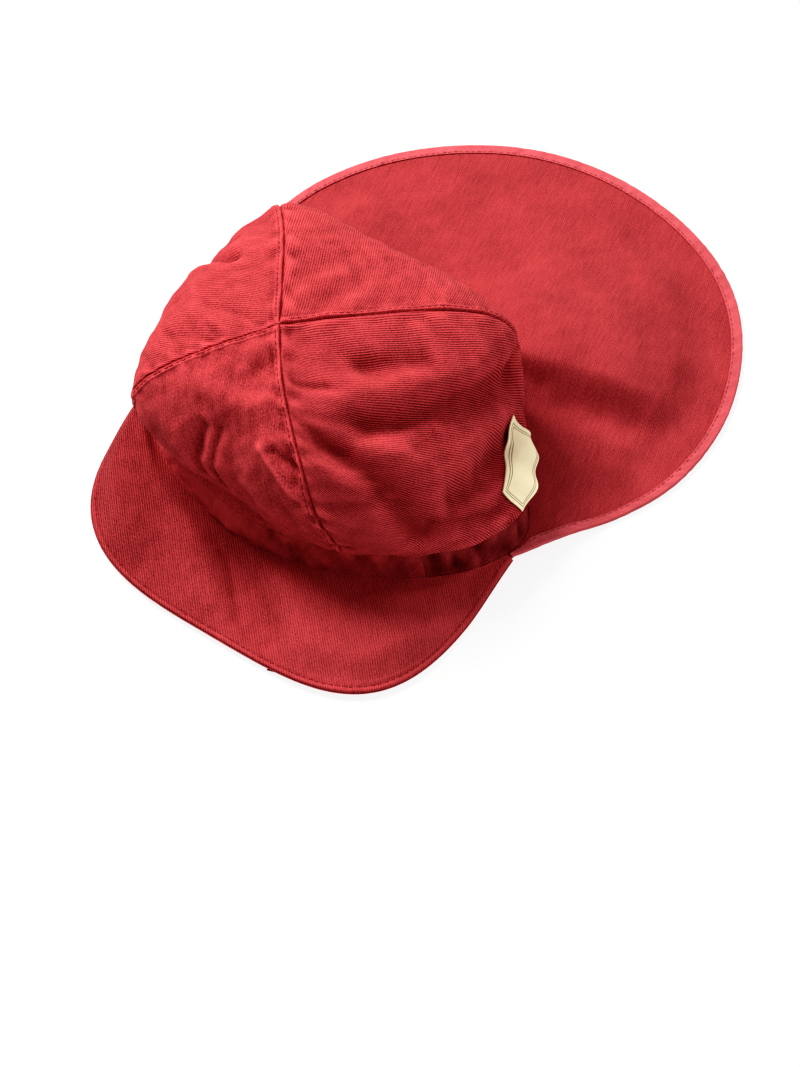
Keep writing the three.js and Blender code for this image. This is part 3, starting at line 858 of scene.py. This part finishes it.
def label_weave(name, ground, ink):
    """Woven label: cream with a slight satin weave and a plain double line along its border."""
    material, tree = new_material(name)
    uv = cloth_place(tree)
    weft = bands(tree, uv, 0.5 * MM, "Y", 0.5)
    patch = noise(tree, uv, 7 * MM, 3.0)
    fade = weighted(tree, (weft, 0.25), (patch, 0.7))
    cream = between(tree, fade, shade(ground, 0.86), shade(ground, 1.08))
    place = add(tree, "ShaderNodeSeparateXYZ", {"Vector": uv}).outputs
    from_sides = [side for axis, size in zip("XY", LABEL_SIZE)
                  for side in (place[axis], calc(tree, "SUBTRACT", size * MM, place[axis]))]
    inset = reduce(partial(calc, tree, "MINIMUM"), from_sides)
    lines = reduce(partial(calc, tree, "ADD"), [
        calc(tree, "COMPARE", inset, line * MM, LABEL_LINE_WIDTH / 2 * MM) for line in LABEL_LINES])
    return finish(material, {
        "Base Color": between(tree, calc(tree, "MULTIPLY", lines, 0.8), cream, ink),
        "Normal": bump(tree, weft, 0.3, 0.06 * MM), "Roughness": 0.75, "Specular IOR Level": 0.2})


def thread_finish(name, colour):
    """Spun polyester sewing thread: a little shinier than the cloth, twisted light and dark."""
    material, tree = new_material(name)
    twist = noise(tree, add(tree, "ShaderNodeTexCoord").outputs["Object"], 1.2 * MM)
    return finish(material, {
        "Base Color": between(tree, twist, shade(colour, 0.7), shade(colour, 1.2)),
        "Roughness": 0.65, "Specular IOR Level": 0.25})


def floor_paper(name, colour):
    """Matt white paper on a light table, which thins the shadows, with a faint unevenness."""
    material, tree = new_material(name)
    cloud = noise(tree, add(tree, "ShaderNodeTexCoord").outputs["Object"], 50 * MM, 3.0)
    return finish(material, {
        "Base Color": between(tree, cloud, shade(colour, 0.985), shade(colour, 1.0)),
        "Roughness": 0.9, "Specular IOR Level": 0.1,
        "Emission Color": (1, 1, 1, 1), "Emission Strength": FLOOR_GLOW})


# Pieces


class SUNCAP_OT_crown(bpy.types.Operator):
    """Makes the four panels of the crown"""

    bl_idname = "suncap.crown"
    bl_label = "Crown Panels"

    def execute(self, context):
        cloth = context.scene.sun_cap_cloth
        for panel in PANELS:
            surface = CrownSurface(panel)
            climb = np.linspace(0, 1, MESH_CLIMB_TRIAL)
            length = arc_lengths(surface.base(0 * climb + 0.5, climb), 0)
            rows = np.interp(np.linspace(0, length[-1], int(length[-1] / MESH_CLIMB)), length, climb)
            widest = surface.width(climb).max()
            s, t = grid(graded(widest, MESH_SEAM_STEP, MESH_STEP, MESH_SEAM_MARGIN), rows)
            outer = surface.place(s, t)
            inner = surface.place(s, t, -cloth.crown_thickness / MM)
            across = arc_lengths(surface.base(s, t), 0)
            across = across - across[len(across) // 2]
            up = np.broadcast_to(np.interp(rows, climb, length), s.shape)
            # Painted light: the crown's cloth is made lighter than the flap's
            material = washed_twill(panel.name + "_washed_twill", shade(cloth.red, CROWN_PAINTED_LIGHT_TONE),
                                    cloth.rib_pitch, panel.rib_turn, panel.rib_depth, panel.mottle)
            piece = wall("fine_" + panel.name, outer, inner, np.stack([across, up], -1), material,
                         surface.ridge(s, t))
            dress(piece, panel.name)
        return {"FINISHED"}


class SUNCAP_OT_band(bpy.types.Operator):
    """Makes the plain front and the gathered back of the band"""

    bl_idname = "suncap.band"
    bl_label = "Band"

    def execute(self, context):
        cloth = context.scene.sun_cap_cloth
        back_span = BAND_JOIN_RIGHT - BAND_JOIN_LEFT
        gathers = round(np.radians(back_span) * BAND_MEAN_RADIUS / GATHER_PITCH)
        height = BAND_RINGS[1].up - BAND_RINGS[0].up
        # The back's darker tone is painted shade
        for name, start, end, count, tone in (
                ("band_front", BAND_JOIN_RIGHT - 360, BAND_JOIN_LEFT, 0, BAND_FRONT_TONE),
                ("band_back", BAND_JOIN_LEFT, BAND_JOIN_RIGHT, gathers, BAND_BACK_PAINTED_SHADE_TONE)):
            material = washed_twill(name + "_washed_twill", shade(cloth.red, tone), cloth.rib_pitch,
                                    BAND_RIB_TURN, rib_depth=0.4, grain=0.9)
            length = np.radians(end - start) * BAND_MEAN_RADIUS
            s, t = grid(np.linspace(0, 1, int(length / MESH_BAND_STEP)), np.linspace(0, 1, MESH_BAND_ROWS))
            up = t * height
            along = s * length
            degrees = blend(start, end, s)
            dip = crumple(BAND_CRUMPLES, along, up)
            if count:
                dip = dip + GATHER_DEPTH * (0.5 - 0.5 * np.cos(2 * np.pi * count * s))
                dip = dip + crumple(GATHER_CRUMPLES, along, GATHER_STRETCH * up)
            dip = dip - swell_lift(BAND_SWELLS, degrees, BAND_RINGS[0].up + up)
            dip = dip * ease(up / BAND_CALM_LOW) * ease((height - up) / BAND_CALM_TOP)
            dip = dip + BAND_TUCK * bell(height - up, BAND_TUCK_WIDTH)
            outer = ring_point(band_ring(t), degrees, dip)
            inner = ring_point(band_ring(t), degrees, dip + BAND_CLOTH)
            # Painted light on the front on the wearer's right; wear on the gathers' ridges and painted shade
            # in their hollows
            wear_and_painted_light = BAND_PAINTED_LIGHT * bell(degrees - BAND_PAINTED_LIGHT_BEARING, BAND_PAINTED_LIGHT_SPREAD) - GATHER_WEAR_AND_SHADE * dip
            piece = wall("fine_" + name, outer, inner, np.stack([along, up], -1), material, wear_and_painted_light)
            dress(piece, name)
        return {"FINISHED"}


class SUNCAP_OT_peak(bpy.types.Operator):
    """Makes the two plies of the soft peak"""

    bl_idname = "suncap.peak"
    bl_label = "Peak"

    def execute(self, context):
        cloth = context.scene.sun_cap_cloth
        # Painted shade: the peak's cloth is made darker than the flap's
        material = washed_twill("peak_washed_twill", shade(cloth.red, PEAK_PAINTED_SHADE_TONE), cloth.rib_pitch,
                                PEAK_RIB_TURN, rib_depth=0.8, grain=1.2)
        # Rows that are closer at the edge: the outer half of a length that is graded at both ends
        grade = 1 - graded(2 * MESH_PEAK_DEPTH, MESH_SEAM_STEP, MESH_STEP, MESH_EDGE_MARGIN)[::-1]
        rows = (grade[grade >= 0.5] - 0.5) * 2
        s, w = grid(np.linspace(0, 1, MESH_PEAK_COLUMNS), rows)
        for name, below, extra in (("peak_top", 0, 0.0),
                                   ("peak_under", PEAK_PLY + PEAK_PLY_GAP, PEAK_UNDER_EXTRA)):
            outer, x, y, from_edge = self.layer(s, w, extra, below)
            inner = self.layer(s, w, extra, below + PEAK_PLY)[0]
            roll = np.clip(1 - from_edge / PEAK_ROLL, 0, 1)
            fall = PEAK_ROLL_DROP * (1 - np.sqrt(1 - roll ** 2))
            if name == "peak_top":
                outer[..., 2] -= fall
            else:
                inner[..., 2] += fall
            inner[..., 2] = np.maximum(inner[..., 2], PEAK_ABOVE_FLOOR)
            # Wear on the rolled rim, painted shade along the topstitching, and painted light and shade from
            # one side of the peak to the other
            ridge = (PEAK_RIM_WEAR * bell(from_edge - PEAK_RIM_IN, PEAK_RIM_WIDTH)
                     - PEAK_STITCH_PAINTED_SHADE * bell(from_edge - PEAK_STITCH_IN, PEAK_STITCH_PAINTED_SHADE_WIDTH)
                     + PEAK_PAINTED_SIDE_LIGHT * x / PEAK_HALF_WIDTH)
            piece = wall("fine_" + name, outer, inner, np.stack([x, y], -1), material, ridge)
            dress(piece, name)
        return {"FINISHED"}

    @staticmethod
    def layer(s, w, extra, below):
        """One face of a ply, with its crumples and the dent along its topstitching."""
        x, y, up, from_edge = peak_surface(s, w, extra, below)
        calm = ease(from_edge / PEAK_CRUMPLE_EDGE) * ease(w / PEAK_CRUMPLE_BAND)
        from_stitch = from_edge - PEAK_STITCH_IN
        up = up + crumple(PEAK_CRUMPLES, x, y) * calm
        up = up + crumple(PEAK_PUCKERS, x, y) * bell(from_stitch, PEAK_PUCKER_REACH)
        up = up - PEAK_STITCH_DENT * bell(from_stitch, PEAK_STITCH_DENT_WIDTH)
        return np.stack([x, y, up], -1), x, y, from_edge


class FlapEdge:
    """The edge of the neck flap and the bias tape that is folded over it."""

    def __init__(self, cloth):
        self.half = cloth.flap_thickness / MM / 2
        self.near = self.half + BINDING_ARM_GAP
        self.far = self.near + cloth.binding_thickness / MM
        self.edge_up = self.far
        self.s = np.linspace(0, 1, MESH_BINDING)
        x, y, _, depth = flap_surface(self.s, np.ones_like(self.s), self.edge_up)
        self.depth = np.maximum(depth, FLAP_LEAST_DEPTH)
        self.run = arc_lengths(np.stack([x, y], -1), 0)
        self.arm = np.clip(depth * BINDING_ARM_SHARE, BINDING_ARM_LEAST, BINDING_WIDTH - BINDING_FOLD)
        ix, iy, _, _ = flap_surface(self.s, 1 - self.arm / self.depth, self.edge_up)
        away = np.stack([x - ix, y - iy], -1)
        self.away = away / np.linalg.norm(away, axis=-1, keepdims=True)
        self.pucker = crumple(BINDING_CRUMPLES, self.run, 0 * self.run)

    def place(self, share, reach, lift):
        """Points a share of the arm in from the edge, or a reach beyond it, above the cloth's middle."""
        x, y, up, _ = flap_surface(self.s, 1 - share * self.arm / self.depth, self.edge_up)
        out = reach + (self.pucker * BINDING_EDGE_PUCKER if lift and not share else 0)
        calm = ease(share / BINDING_CALM) * ease((1 - share) / BINDING_CALM + BINDING_CALM_LEAST)
        dent = BINDING_STITCH_DENT * bell(share - BINDING_STITCH_SHARE, BINDING_STITCH_DENT_WIDTH)
        tuck = BINDING_TUCK * (share > BINDING_TUCK_FROM)
        relief = (self.pucker * calm - dent - tuck) * (lift > self.near)
        height = np.maximum(up + lift + relief, 0.0)
        return np.stack([x + self.away[:, 0] * out, y + self.away[:, 1] * out, height], -1)


class SUNCAP_OT_flap(bpy.types.Operator):
    """Makes the neck flap and its folded binding"""

    bl_idname = "suncap.flap"
    bl_label = "Neck Flap"

    def execute(self, context):
        cloth = context.scene.sun_cap_cloth
        edge = FlapEdge(cloth)
        twill = washed_twill("flap_washed_twill", cloth.red, cloth.rib_pitch, FLAP_RIB_TURN,
                             rib_depth=0.3, mottle=0.45, grain=0.9)
        s, w = grid(np.linspace(1, 0, MESH_FLAP[0]), np.linspace(0, 1, MESH_FLAP[1]))
        outer = np.stack(flap_surface(s, w, edge.edge_up, edge.half)[:3], -1)
        inner = np.stack(flap_surface(s, w, edge.edge_up, -edge.half)[:3], -1)
        flap = wall("fine_neck_flap", outer, inner, outer[..., :2], twill)
        dress(flap, "neck_flap")
        binding = self.binding(edge, bias_tape("coral_bias_tape", cloth.coral, WEAVE_PITCH * MM))
        dress(binding, "flap_binding")
        return {"FINISHED"}

    def binding(self, edge, material):
        """The bias tape as one folded section swept round the flap's edge."""
        # Section of the fold: share of the arm inwards, reach outwards, and height
        arms = np.linspace(1, 0, MESH_BINDING_ARM)
        bow = np.radians(np.linspace(BINDING_BOW_TURN, -BINDING_BOW_TURN, MESH_BINDING_BOW))
        section = [(a, 0.0, edge.far) for a in arms]
        section += [(0, BINDING_BOW - BINDING_BOW_ROUND * (1 - np.cos(b)), edge.far * np.sin(b)) for b in bow]
        section += [(a, 0.0, -edge.far) for a in arms[::-1]]
        section += [(a, 0.0, -edge.near) for a in arms]
        section += [(0, BINDING_BOW_INSIDE, -edge.near), (0, BINDING_BOW_INSIDE, edge.near)]
        section += [(a, 0.0, edge.near) for a in arms[::-1]]
        rings = np.stack([edge.place(*corner) for corner in section], 1)
        uv = np.stack([np.stack([edge.run, (1 - share) * edge.arm * np.sign(lift) + lift], -1)
                       for share, _, lift in section], 1)
        index = np.arange(rings.shape[0] * len(section)).reshape(-1, len(section))
        around = np.roll(index, -1, axis=1)
        faces = np.stack([index[:-1], around[:-1], around[1:], index[1:]], -1).reshape(-1, 4)
        caps = [list(index[0][::-1]), list(index[-1])]
        return piece_from("fine_flap_binding", rings.reshape(-1, 3), list(faces) + caps,
                          uv.reshape(-1, 2), material)


class SUNCAP_OT_trim(bpy.types.Operator):
    """Makes the woven label and the end of the dark tape"""

    bl_idname = "suncap.trim"
    bl_label = "Label and Tape"

    def execute(self, context):
        cloth = context.scene.sun_cap_cloth
        surface = CrownSurface(next(p for p in PANELS if p.name == LABEL_PANEL))
        a, b = grid(np.linspace(0, 1, MESH_LABEL[0]), np.linspace(0, 1, MESH_LABEL[1]))
        low, top = LABEL_LOW, LABEL_TOP
        across = blend(blend(low.across, low.across_end, a), blend(top.across, top.across_end, a), b)
        up = blend(blend(low.up, low.up_end, a), blend(top.up, top.up_end, a), b) / PANEL_LENGTH
        ripple = 1 + np.sin(2 * np.pi * LABEL_WAVE_COUNT * a + LABEL_WAVE_PHASE)
        stand = LABEL_STAND + LABEL_WAVE_HEIGHT * ripple * (1 - LABEL_HELD * b * (1 - a))
        s = 0.5 + across / surface.width(up)
        outer = surface.place(s, up, stand + LABEL_CLOTH)
        inner = surface.place(s, up, stand)
        material = label_weave("cream_label_weave", cloth.cream, linear(LABEL_INK))
        label = wall("fine_label", outer, inner, np.stack([a, b], -1) * LABEL_SIZE, material)
        dress(label, "label")
        self.tape()
        return {"FINISHED"}

    def tape(self):
        """A flat strip that is a little rounded on top."""
        start, end = np.array(TAPE_START, float), np.array(TAPE_END, float)
        length = np.linalg.norm(end - start)
        along = (end - start) / length
        side = np.array([-along[1], along[0]])
        a, b = grid(np.linspace(0.5, -0.5, MESH_TAPE[0]), np.linspace(0, 1, MESH_TAPE[1]))
        flat = start + along * (b * length)[..., None] + side * (a * TAPE_WIDTH)[..., None]
        top = TAPE_CROWN - TAPE_ROUND * (2 * a) ** 2
        outer = np.concatenate([flat, top[..., None]], -1)
        inner = np.concatenate([flat, np.full_like(top, TAPE_UP)[..., None]], -1)
        dark = bias_tape("dark_cotton_tape", linear(TAPE_COLOUR), WEAVE_PITCH * MM)
        tape = wall("fine_tape_end", outer, inner, np.stack([a * TAPE_WIDTH, b * length], -1), dark)
        dress(tape, "tape_end")


class SUNCAP_OT_stitches(bpy.types.Operator):
    """Sews the topstitching along the crown's seams, the peak's edge and the binding"""

    bl_idname = "suncap.stitches"
    bl_label = "Topstitching"

    def execute(self, context):
        cloth = context.scene.sun_cap_cloth
        stitch = context.scene.sun_cap_stitch
        tree = self.stitch_tree()
        red = thread_finish("dark_red_thread", shade(cloth.red, 0.62))
        faded = thread_finish("faded_red_thread", shade(cloth.red, 0.85))
        coral = thread_finish("coral_thread", shade(cloth.coral, 0.6))
        for name, node, rows, thread in (
                ("crown_stitches", "crown_panel_front", self.seam_rows(), red),
                ("peak_stitches", "peak_top", [self.peak_row()], faded),
                ("binding_stitches", "flap_binding", [self.binding_row(cloth)], coral)):
            piece = self.sew(context, name, rows, tree, {
                "Pitch": stitch.pitch, "Length": stitch.length, "Width": stitch.width, "Thread": thread})
            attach(piece, BODY)
        return {"FINISHED"}

    @staticmethod
    def seam_rows():
        """One row on the raised side of each crown seam."""
        t = np.linspace(*SEAM_ROW)
        rows = []
        for panel in PANELS:
            surface = CrownSurface(panel)
            for seam in panel.raised:
                share = SEAMS[seam].stitch_in / surface.width(t)
                rows.append(surface.place(share if seam == panel.first else 1 - share, t, THREAD_UP))
        return rows

    @staticmethod
    def peak_row():
        s = np.linspace(*PEAK_ROW)
        depth = peak_surface(s, 0 * s)[3]
        return SUNCAP_OT_peak.layer(s, 1 - PEAK_STITCH_IN / depth, 0.0, 0.0)[0] + (0, 0, THREAD_UP)

    @staticmethod
    def binding_row(cloth):
        edge = FlapEdge(cloth)
        row = edge.place(BINDING_STITCH_SHARE, 0.0, edge.far)
        return row[BINDING_ROW_ENDS:-BINDING_ROW_ENDS] + (0, 0, THREAD_UP)

    def sew(self, context, name, rows, tree, inputs):
        """Turns rows of points into a plain mesh of stitches."""
        points = (np.concatenate(rows) + HEAD_AT) * MM
        starts = np.cumsum([0] + [len(row) for row in rows])
        edges = [(i, i + 1) for a, b in zip(starts[:-1], starts[1:]) for i in range(a, b - 1)]
        path = bpy.data.meshes.new(name + "_path")
        path.from_pydata(points.tolist(), edges, [])
        guide = bpy.data.objects.new(name + "_path", path)
        context.scene.collection.objects.link(guide)
        modifier = guide.modifiers.new("stitches", "NODES")
        modifier.node_group = tree
        for item in tree.interface.items_tree:
            if item.in_out == "INPUT" and item.name in inputs:
                modifier[item.identifier] = inputs[item.name]
        sewn = guide.evaluated_get(context.evaluated_depsgraph_get())
        mesh = bpy.data.meshes.new_from_object(sewn)
        mesh.polygons.foreach_set("use_smooth", np.ones(len(mesh.polygons), bool))
        guide.modifiers.remove(modifier)
        bpy.data.objects.remove(guide)
        piece = bpy.data.objects.new(name, mesh)
        context.scene.collection.objects.link(piece)
        return piece

    @staticmethod
    def stitch_tree():
        """Small rounded stitches at an even pitch along a row, each a little askew."""
        tree = bpy.data.node_groups.new("topstitch_row", "GeometryNodeTree")
        tree.interface.new_socket("Row", in_out="INPUT", socket_type="NodeSocketGeometry")
        for size in ("Pitch", "Length", "Width"):
            tree.interface.new_socket(size, in_out="INPUT", socket_type="NodeSocketFloat")
        tree.interface.new_socket("Thread", in_out="INPUT", socket_type="NodeSocketMaterial")
        tree.interface.new_socket("Stitches", in_out="OUTPUT", socket_type="NodeSocketGeometry")
        given = add(tree, "NodeGroupInput").outputs
        row = add(tree, "GeometryNodeMeshToCurve", {"Mesh": given["Row"]}).outputs["Curve"]
        spaced = add(tree, "GeometryNodeResampleCurve", {"Curve": row, "Length": given["Pitch"]},
                     mode="LENGTH").outputs["Curve"]
        along = add(tree, "GeometryNodeInputTangent").outputs["Tangent"]
        turn = add(tree, "FunctionNodeAlignRotationToVector", {"Vector": along}, axis="X").outputs["Rotation"]
        yaw = add(tree, "FunctionNodeRandomValue", {2: -THREAD_ASKEW, 3: THREAD_ASKEW, "Seed": 5},
                  data_type="FLOAT").outputs[1]
        askew = add(tree, "ShaderNodeCombineXYZ", {"Z": yaw}).outputs["Vector"]
        tilt = add(tree, "FunctionNodeEulerToRotation", {"Euler": askew}).outputs["Rotation"]
        turn = add(tree, "FunctionNodeRotateRotation", {"Rotation": turn, "Rotate By": tilt},
                   rotation_space="LOCAL").outputs["Rotation"]
        bead = add(tree, "GeometryNodeMeshUVSphere", {
            "Segments": 10, "Rings": 6, "Radius": 0.5}).outputs["Mesh"]
        size = add(tree, "ShaderNodeCombineXYZ", {
            "X": given["Length"], "Y": given["Width"], "Z": given["Width"]}).outputs["Vector"]
        thread = add(tree, "GeometryNodeTransform", {"Geometry": bead, "Scale": size}).outputs["Geometry"]
        sewn = add(tree, "GeometryNodeInstanceOnPoints", {
            "Points": spaced, "Instance": thread, "Rotation": turn}).outputs["Instances"]
        real = add(tree, "GeometryNodeRealizeInstances", {"Geometry": sewn}).outputs["Geometry"]
        done = add(tree, "GeometryNodeSetMaterial", {"Geometry": real, "Material": given["Thread"]})
        add(tree, "NodeGroupOutput", {"Stitches": done.outputs["Geometry"]})
        return tree


class SUNCAP_OT_stage(bpy.types.Operator):
    """Makes the floor, the lights and the photograph's camera"""

    bl_idname = "suncap.stage"
    bl_label = "Stage"

    def execute(self, context):
        stage = context.scene.sun_cap_stage
        self.floor(stage)
        self.room(context.scene, stage)
        self.key(context.scene, stage)
        self.camera(context.scene)
        self.develop(context.scene.view_settings)
        return {"FINISHED"}

    def develop(self, view):
        """Plain colours with the deep shadows of the photograph's camera."""
        view.view_transform = "Standard"
        view.use_curve_mapping = True
        combined = view.curve_mapping.curves[3]
        for x, y in TONE_CURVE:
            combined.points.new(x, y)
        view.curve_mapping.update()

    def floor(self, stage):
        mesh = bpy.data.meshes.new("floor")
        corners = [(x * FLOOR_REACH, y * FLOOR_REACH, 0) for x, y in ((-1, -1), (1, -1), (1, 1), (-1, 1))]
        mesh.from_pydata(corners, [], [(0, 1, 2, 3)])
        mesh.materials.append(floor_paper("white_paper", stage.floor))
        floor = bpy.data.objects.new("floor", mesh)
        floor.location.z = -FLOOR_BELOW
        bpy.context.scene.collection.objects.link(floor)

    def room(self, scene, stage):
        """Even light from all round, stronger from behind on the wearer's left, across from the key."""
        world = bpy.data.worlds.new("soft_room")
        world.use_nodes = True
        tree = world.node_tree
        tree.nodes.clear()
        toward = add(tree, "ShaderNodeTexCoord").outputs["Generated"]
        lean = add(tree, "ShaderNodeVectorMath", {0: toward, 1: Vector(ROOM_BRIGHT_SIDE).normalized()},
                   operation="DOT_PRODUCT").outputs["Value"]
        strength = add(tree, "ShaderNodeMapRange", {
            "Value": lean, "From Min": -1.0, "From Max": 1.0,
            "To Min": stage.fill * ROOM_DIM, "To Max": stage.fill * (2 - ROOM_DIM)}).outputs["Result"]
        light = add(tree, "ShaderNodeBackground", {"Color": (1, 1, 1, 1), "Strength": strength})
        add(tree, "ShaderNodeOutputWorld", {"Surface": light.outputs["Background"]})
        scene.world = world

    def key(self, scene, stage):
        key = bpy.data.lights.new("key", "AREA")
        key.shape = "DISK"
        key.size = KEY_SIZE
        key.energy = stage.key_power
        lamp = bpy.data.objects.new("key", key)
        lamp.location = Vector(KEY_PLACE)
        lamp.rotation_euler = (-lamp.location).to_track_quat("-Z", "Y").to_euler()
        scene.collection.objects.link(lamp)

    def camera(self, scene):
        az, el = np.radians(CAMERA_AZIMUTH), np.radians(CAMERA_ELEVATION)
        back = np.array([np.sin(az) * np.cos(el), -np.cos(az) * np.cos(el), np.sin(el)])
        right = np.array([np.cos(az), np.sin(az), 0.0])
        up = np.cross(back, right)
        shift_x = (HEAD_PIXEL[0] - PHOTO_WIDTH / 2) / PIXELS_PER_MM
        shift_y = (PHOTO_HEIGHT / 2 - HEAD_PIXEL[1]) / PIXELS_PER_MM
        place = HEAD_AT + back * CAMERA_DEPTH - right * shift_x - up * shift_y
        data = bpy.data.cameras.new("camera")
        data.sensor_width = SENSOR_LONG_SIDE
        data.lens = SENSOR_LONG_SIDE * PIXELS_PER_MM * CAMERA_DEPTH / PHOTO_HEIGHT
        camera = bpy.data.objects.new("camera", data)
        turn = Matrix((right, up, back)).transposed()
        camera.matrix_world = Matrix.Translation(Vector(place * MM)) @ turn.to_4x4()
        scene.collection.objects.link(camera)
        scene.camera = camera


class SUNCAP_PT_sidebar(bpy.types.Panel):
    """Lists the makers of the cap's pieces."""

    bl_label = "Sun Cap"
    bl_idname = "SUNCAP_PT_sidebar"
    bl_space_type = "VIEW_3D"
    bl_region_type = "UI"
    bl_category = "Sun Cap"

    def draw(self, context):
        for settings in ("sun_cap_cloth", "sun_cap_stitch", "sun_cap_stage"):
            group = getattr(context.scene, settings)
            for key in group.bl_rna.properties.keys():
                if key not in ("rna_type", "name"):
                    self.layout.prop(group, key)
        for maker in MAKERS:
            self.layout.operator(maker.bl_idname)


MAKERS = (SUNCAP_OT_crown, SUNCAP_OT_band, SUNCAP_OT_peak, SUNCAP_OT_flap, SUNCAP_OT_trim,
          SUNCAP_OT_stitches, SUNCAP_OT_stage)
SETTINGS = {"sun_cap_cloth": SunCapCloth, "sun_cap_stitch": SunCapStitch, "sun_cap_stage": SunCapStage}


def register():
    for cls in (*SETTINGS.values(), *MAKERS, SUNCAP_PT_sidebar):
        bpy.utils.register_class(cls)
    for name, cls in SETTINGS.items():
        setattr(bpy.types.Scene, name, PointerProperty(type=cls))


def unregister():
    for name in SETTINGS:
        delattr(bpy.types.Scene, name)
    for cls in (SUNCAP_PT_sidebar, *reversed(MAKERS), *reversed(tuple(SETTINGS.values()))):
        bpy.utils.unregister_class(cls)


def main():
    register()
    for maker in MAKERS:
        group, name = maker.bl_idname.split(".")
        getattr(getattr(bpy.ops, group), name)()


if __name__ == "__main__":
    main()
